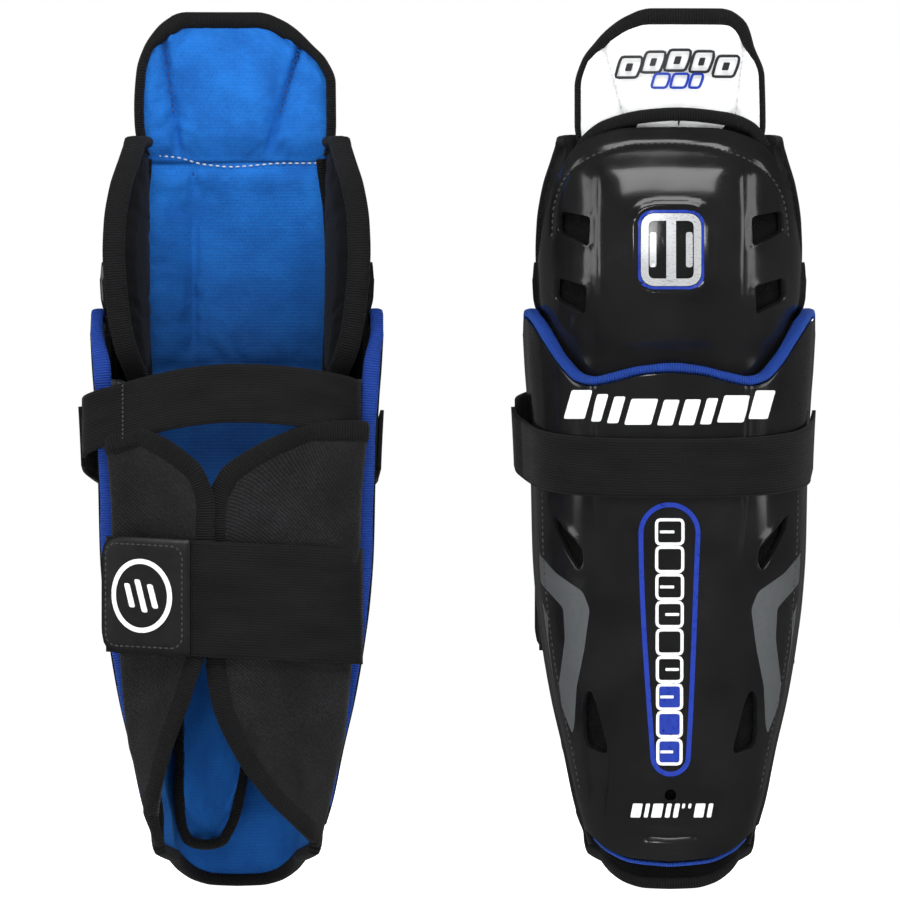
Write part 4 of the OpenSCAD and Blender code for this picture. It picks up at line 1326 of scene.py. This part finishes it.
# ------------------------------------------------------------------ the thigh flap
near_edge = curve((330, 37), (350, 41), (368, 41), (379, 38), (388, 31), (395, 21), (401, 8))
far_edge = curve((330, 37), (350, 41), (373, 40.5), (384, 36.5), (395, 31), (401, 23))
wide_near_edge = curve((330, 39), (342, 42.6), (371, 42.4), (380, 38.8), (388, 31), (395, 21), (401, 8))
wide_far_edge = curve((330, 39), (342, 44), (360, 45), (376, 44), (386, 41), (394, 34), (401, 24))
PAD_TOP = 399.0
PAD_FRONT = 45.5       # how far the pad's plain front face stands ahead of the leg axis
PAD_HALF = 42
PAD_WRAP = 9           # how far that face falls back at half its width
FLAP_FACE = -1.4       # how far the vinyl face stands in front of the pad's plain face


def pad_face(x):
    """y of the thigh pad's plain front face."""
    return PAD_WRAP * (np.abs(x) / PAD_HALF) ** 2 - PAD_FRONT


def thigh_point(t, z, lean, back):
    """Point of the thigh pad: t from its -X edge to its +X edge, back mm behind its front face."""
    t, z, back = np.broadcast_arrays(np.asarray(t, float), np.asarray(z, float), np.asarray(back, float))
    left, right = (near_edge(z), far_edge(z)) if lean > 0 else (wide_far_edge(z), wide_near_edge(z))
    x = mix(-left, right, (t + 1) / 2)
    y = pad_face(x) + back + 2.2 * smooth(-z, -349, -337)
    return np.stack([x, y, z], -1)


def build_thigh(side):
    lean = LEAN[side]
    rows, cols = 44, 56
    t, v = np.linspace(-1, 1, cols)[None, :], np.linspace(0, 1, rows)[:, None]
    z_front, z_back = mix(344, PAD_TOP, v), mix(334.5, PAD_TOP, v)

    def seam_pull(x, z, seams):
        pull = 0 * x
        for (xa, za), (xb, zb) in seams:
            line = mix(xa, xb, (z - za) / (zb - za)) * lean
            pull = np.maximum(pull, np.exp(-((x - line) / 1.7) ** 2))
        return pull

    front_seams = [((-30, 385), (-21.5, 354)), ((33.5, 385), (29.7, 354))]
    back_seams = [((34, 388), (27, 338)), ((-26.7, 382), (-12.3, 334))]
    border = smooth(1 - np.abs(t), 0, 0.12) * smooth(1 - v, 0, 0.1)
    x = thigh_point(t, z_front, lean, 0)[..., 0]
    front_pull = seam_pull(x, z_front, front_seams)
    front = thigh_point(t, z_front, lean, 1.4 - 1.6 * border * (1 - front_pull) + 1.6 * front_pull)
    x = thigh_point(t, z_back, lean, 0)[..., 0]
    back_pull = seam_pull(x, z_back, back_seams)
    low = smooth(z_back, 335, 347)
    back = thigh_point(t, z_back, lean, 5.2 + (3.4 + 2.0 * border * (1 - back_pull) - 3.2 * back_pull) * low)
    faces, kind = slab_faces(rows, cols)
    points = np.vstack([front.reshape(-1, 3), back.reshape(-1, 3)])
    held = np.zeros((2, rows, cols))
    held[:, :, [0, 1, -2, -1]] = 1
    held[:, [0, 1, -2, -1], :] = 1
    held[0] = np.maximum(np.maximum(held[0], front_pull > 0.5), smooth(z_front, 354, 364))
    held[1] = np.maximum(held[1], back_pull > 0.5)
    points = swell(points, faces, held.ravel(), 4.0, 26, 2.2)
    uv = np.vstack([arc_uv(front), arc_uv(back)])
    pad = make(f"{side}_thigh_flap_pad", side, points, faces, uv, [VINYL, BLUE_MESH],
               [min(k, 1) for k in kind])
    fold = to_frame(side, [(0, -PAD_FRONT, 345), (0, -PAD_FRONT, 357)])
    knee, flap = f"{side}_knee", f"{side}_thigh_flap"
    blend_and_slot(pad, (knee, flap), fold, "white_vinyl", f"{side}_thigh_pad")

    heights = np.linspace(337, PAD_TOP, 46)
    spread = np.array([0.6, 0, 0]) * smooth(heights, 340, 352)[:, None]
    to_leg = 5.4 + 3.4 * smooth(-heights, -392, -372)
    left = thigh_point(-1, heights, lean, to_leg) - spread
    right = thigh_point(1, heights[::-1], lean, to_leg[::-1]) + spread[::-1]
    top = thigh_point(np.linspace(-0.9, 0.9, 9), PAD_TOP + 0.8, lean, 5.0)
    path = resample(np.vstack([left, top, right]), 1.7)
    broad = 2.3 + 1.9 * smooth(path[:, 2], 385, 397)
    rings = ribbon_tube(path, TO_LEG, 5.9, broad, 16)
    edging = tube(f"{side}_thigh_edging", side, rings, [BLACK_BINDING])
    blend_and_slot(edging, (knee, flap), fold, "black_binding", f"{side}_thigh_binding")

    for k, ((xa, za), (xb, zb)) in enumerate(front_seams):
        z = np.linspace(za + 3, zb + 2, 30)
        xs = mix(xa, xb, (z - za) / (zb - za)) * lean
        points = np.column_stack([xs, pad_face(xs) + 1.2, z])
        row = stitches(f"{side}_flap_front_seam_{k}", side, points, -TO_LEG, PALE_THREAD, 3.0, 1.6, 0.42)
        ride_and_slot(row, flap, "white_vinyl")
    for k, ((xa, za), (xb, zb)) in enumerate(back_seams):
        z = np.linspace(za + 2, 358, 26)
        xs = mix(xa, xb, (z - za) / (zb - za)) * lean
        points = np.column_stack([xs, pad_face(xs) + 8.6, z])
        row = stitches(f"{side}_flap_back_seam_{k}", side, points, TO_LEG, BLUE_THREAD, 3.0, 2.0, 0.4)
        ride_and_slot(row, flap, "blue_mesh")

    def on_flap(x, z, out=0.0):
        x, z = np.broadcast_arrays(np.asarray(x, float), np.asarray(z, float))
        return np.stack([x, pad_face(x) + FLAP_FACE - out, z], -1), None

    def block_row(x, widths, height, z, drop, corner, step, line):
        lines, fills = [], []
        for width in widths:
            middle = x + width / 2
            at = middle * lean, z - drop * (middle - 4) ** 2
            lines += outlined(leaning_bar(*at, width, height, 0.3 * lean, corner), step, line)
            fills.append(leaning_bar(*at, width * 0.3, 3.6, 0.3 * lean, 0.5))
            x += width + 1.6
        return lines, fills

    big, fill = block_row(-24.0, (10, 9, 10, 9, 10), 9.5, 380, 0.006, 1.4, 1.2, 1.3)
    little, _ = block_row(-8.0, (7, 7, 5), 6.4, 370.6, 0, 1.2, 1.0, 1.2)
    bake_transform(print_patch(f"{side}_flap_print", side, big + fill, on_flap, BLACK_INK, 0.1, 3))
    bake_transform(print_patch(f"{side}_flap_print_low", side, little, on_flap, BLUE_INK, 0.1, 3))

    xs = np.linspace(-36, 36, 60)
    zs = curve((-38, 337.6), (-28, 336.6), (-16, 333.6), (-3, 332.4), (9, 333.2), (19, 334), (38, 334))(xs)
    points = np.column_stack([xs, pad_face(xs) + 7.7, zs])
    join = stitches(f"{side}_flap_join", side, points, TO_LEG, PALE_THREAD, 3.1, 2.0, 0.42)
    ride_and_slot(join, knee, "white_vinyl")

    xs = np.linspace(-43, 43, 70)
    arch = curve((-45, 330), (-42.5, 336), (-38, 343.5), (-30, 349.5), (-12, 354.3), (3, 355.3), (25, 353.3),
                 (36, 349.4),
                 (42, 342), (45, 334))
    zs = arch(xs * lean) if lean > 0 else arch(-xs)
    ys = pad_face(xs) - 2.4
    rings = ribbon_tube(np.column_stack([xs, ys, zs]), UP, 3.1, 2.2, 14)
    band = tube(f"{side}_gusset_edging", side, rings, [BLACK_BINDING])
    ride_and_slot(band, knee, "black_binding", f"{side}_thigh_gusset")
    rows = 12
    v = np.linspace(0, 1, rows)[:, None]
    x = np.broadcast_to(xs[None, :], (rows, 70))
    low_z = cap_top(np.abs(x)) - 9
    z = mix(low_z, zs[None, :], v)
    cap_y = front_y(x, cap_w(z) - 4.5, cap_f(np.minimum(z, 349)) - 4.5, 0)
    y = mix(cap_y, ys[None, :] + 0.8, smooth(v, 0.2, 1.0))
    outer = np.stack([x, y, z], -1)
    gusset = slab(f"{side}_gusset", side, outer, outer + np.array([0, 2.0, 0]), [BLACK_MESH])
    ride_and_slot(gusset, knee, "black_fabric")


# ------------------------------------------------------------------ build the pair
for side in SIDES:
    build_shell(side)
    build_prints(side)
    build_ankle(side)
    build_liner(side)
    for kind in ("medial", "lateral"):
        build_wrap(side, kind)
        build_wing(side, kind)
    build_lower_strap(side)
    build_upper_strap(side)
    build_cap(side)
    build_thigh(side)


# ------------------------------------------------------------------ studio
def panel(name, middle, size, normal, material):
    """A flat rectangle of the studio that faces along normal."""
    mesh = bpy.data.meshes.new(name)
    w, h = size[0] / 2, size[1] / 2
    mesh.from_pydata([(-w, -h, 0), (w, -h, 0), (w, h, 0), (-w, h, 0)], [], [(0, 1, 2, 3)])
    mesh.materials.append(material)
    piece = bpy.data.objects.new(name, mesh)
    piece.location = middle
    piece.rotation_mode = "QUATERNION"
    piece.rotation_quaternion = Vector(normal).to_track_quat("Z", "Y")
    bpy.context.scene.collection.objects.link(piece)
    return piece


def white_surroundings():
    """White where the camera sees it, and only a faint light on the guards."""
    world = bpy.data.worlds.new("studio")
    world.use_nodes = True
    tree = world.node_tree
    glow = tree.nodes["Background"]
    rays = tree.nodes.new("ShaderNodeLightPath")
    strength = tree.nodes.new("ShaderNodeMapRange")
    strength.inputs["To Min"].default_value, strength.inputs["To Max"].default_value = 0.07, 1.0
    glow.inputs["Color"].default_value = (1, 1, 1, 1)
    tree.links.new(rays.outputs["Is Camera Ray"], strength.inputs["Value"])
    tree.links.new(strength.outputs[0], glow.inputs["Strength"])
    return world


def softbox(name, place, aim, size, power):
    light = bpy.data.lights.new(name, "AREA")
    light.shape, light.size, light.size_y, light.energy = "RECTANGLE", size[0], size[1], power
    lamp = bpy.data.objects.new(name, light)
    lamp.location = place
    lamp.rotation_mode = "QUATERNION"
    lamp.rotation_quaternion = (Vector(place) - Vector(aim)).to_track_quat("Z", "Y")
    bpy.context.scene.collection.objects.link(lamp)


panel("floor", (0, 0, 0), (26, 26), (0, 0, 1), pale_floor()).visible_glossy = False
softbox("left_softbox", (-1.7, -0.5, 0.6), (-0.05, 0, 0.2), (0.35, 1.3), 5)
softbox("right_softbox", (1.7, -0.5, 0.6), (0.05, 0, 0.2), (0.35, 1.3), 5)
softbox("top_softbox", (0, -1.2, 1.9), (0, 0, 0.25), (2.2, 1.0), 46)
softbox("front_fill", (-0.5, -3.4, 0.9), (0, 0, 0.2), (0.5, 0.5), 12)
softbox("back_fill", (0.6, 3.4, 1.2), (0, 0, 0.2), (0.9, 0.9), 16)

bpy.context.scene.world = white_surroundings()
bpy.context.scene.view_settings.view_transform = "Standard"

camera_data = bpy.data.cameras.new("camera")
camera_data.lens = 782
camera_data.sensor_width = 36
camera = bpy.data.objects.new("camera", camera_data)
camera.location = (0, -9, 0.2015)
camera.rotation_euler = (math.pi / 2, 0, 0)
bpy.context.scene.collection.objects.link(camera)
bpy.context.scene.camera = camera
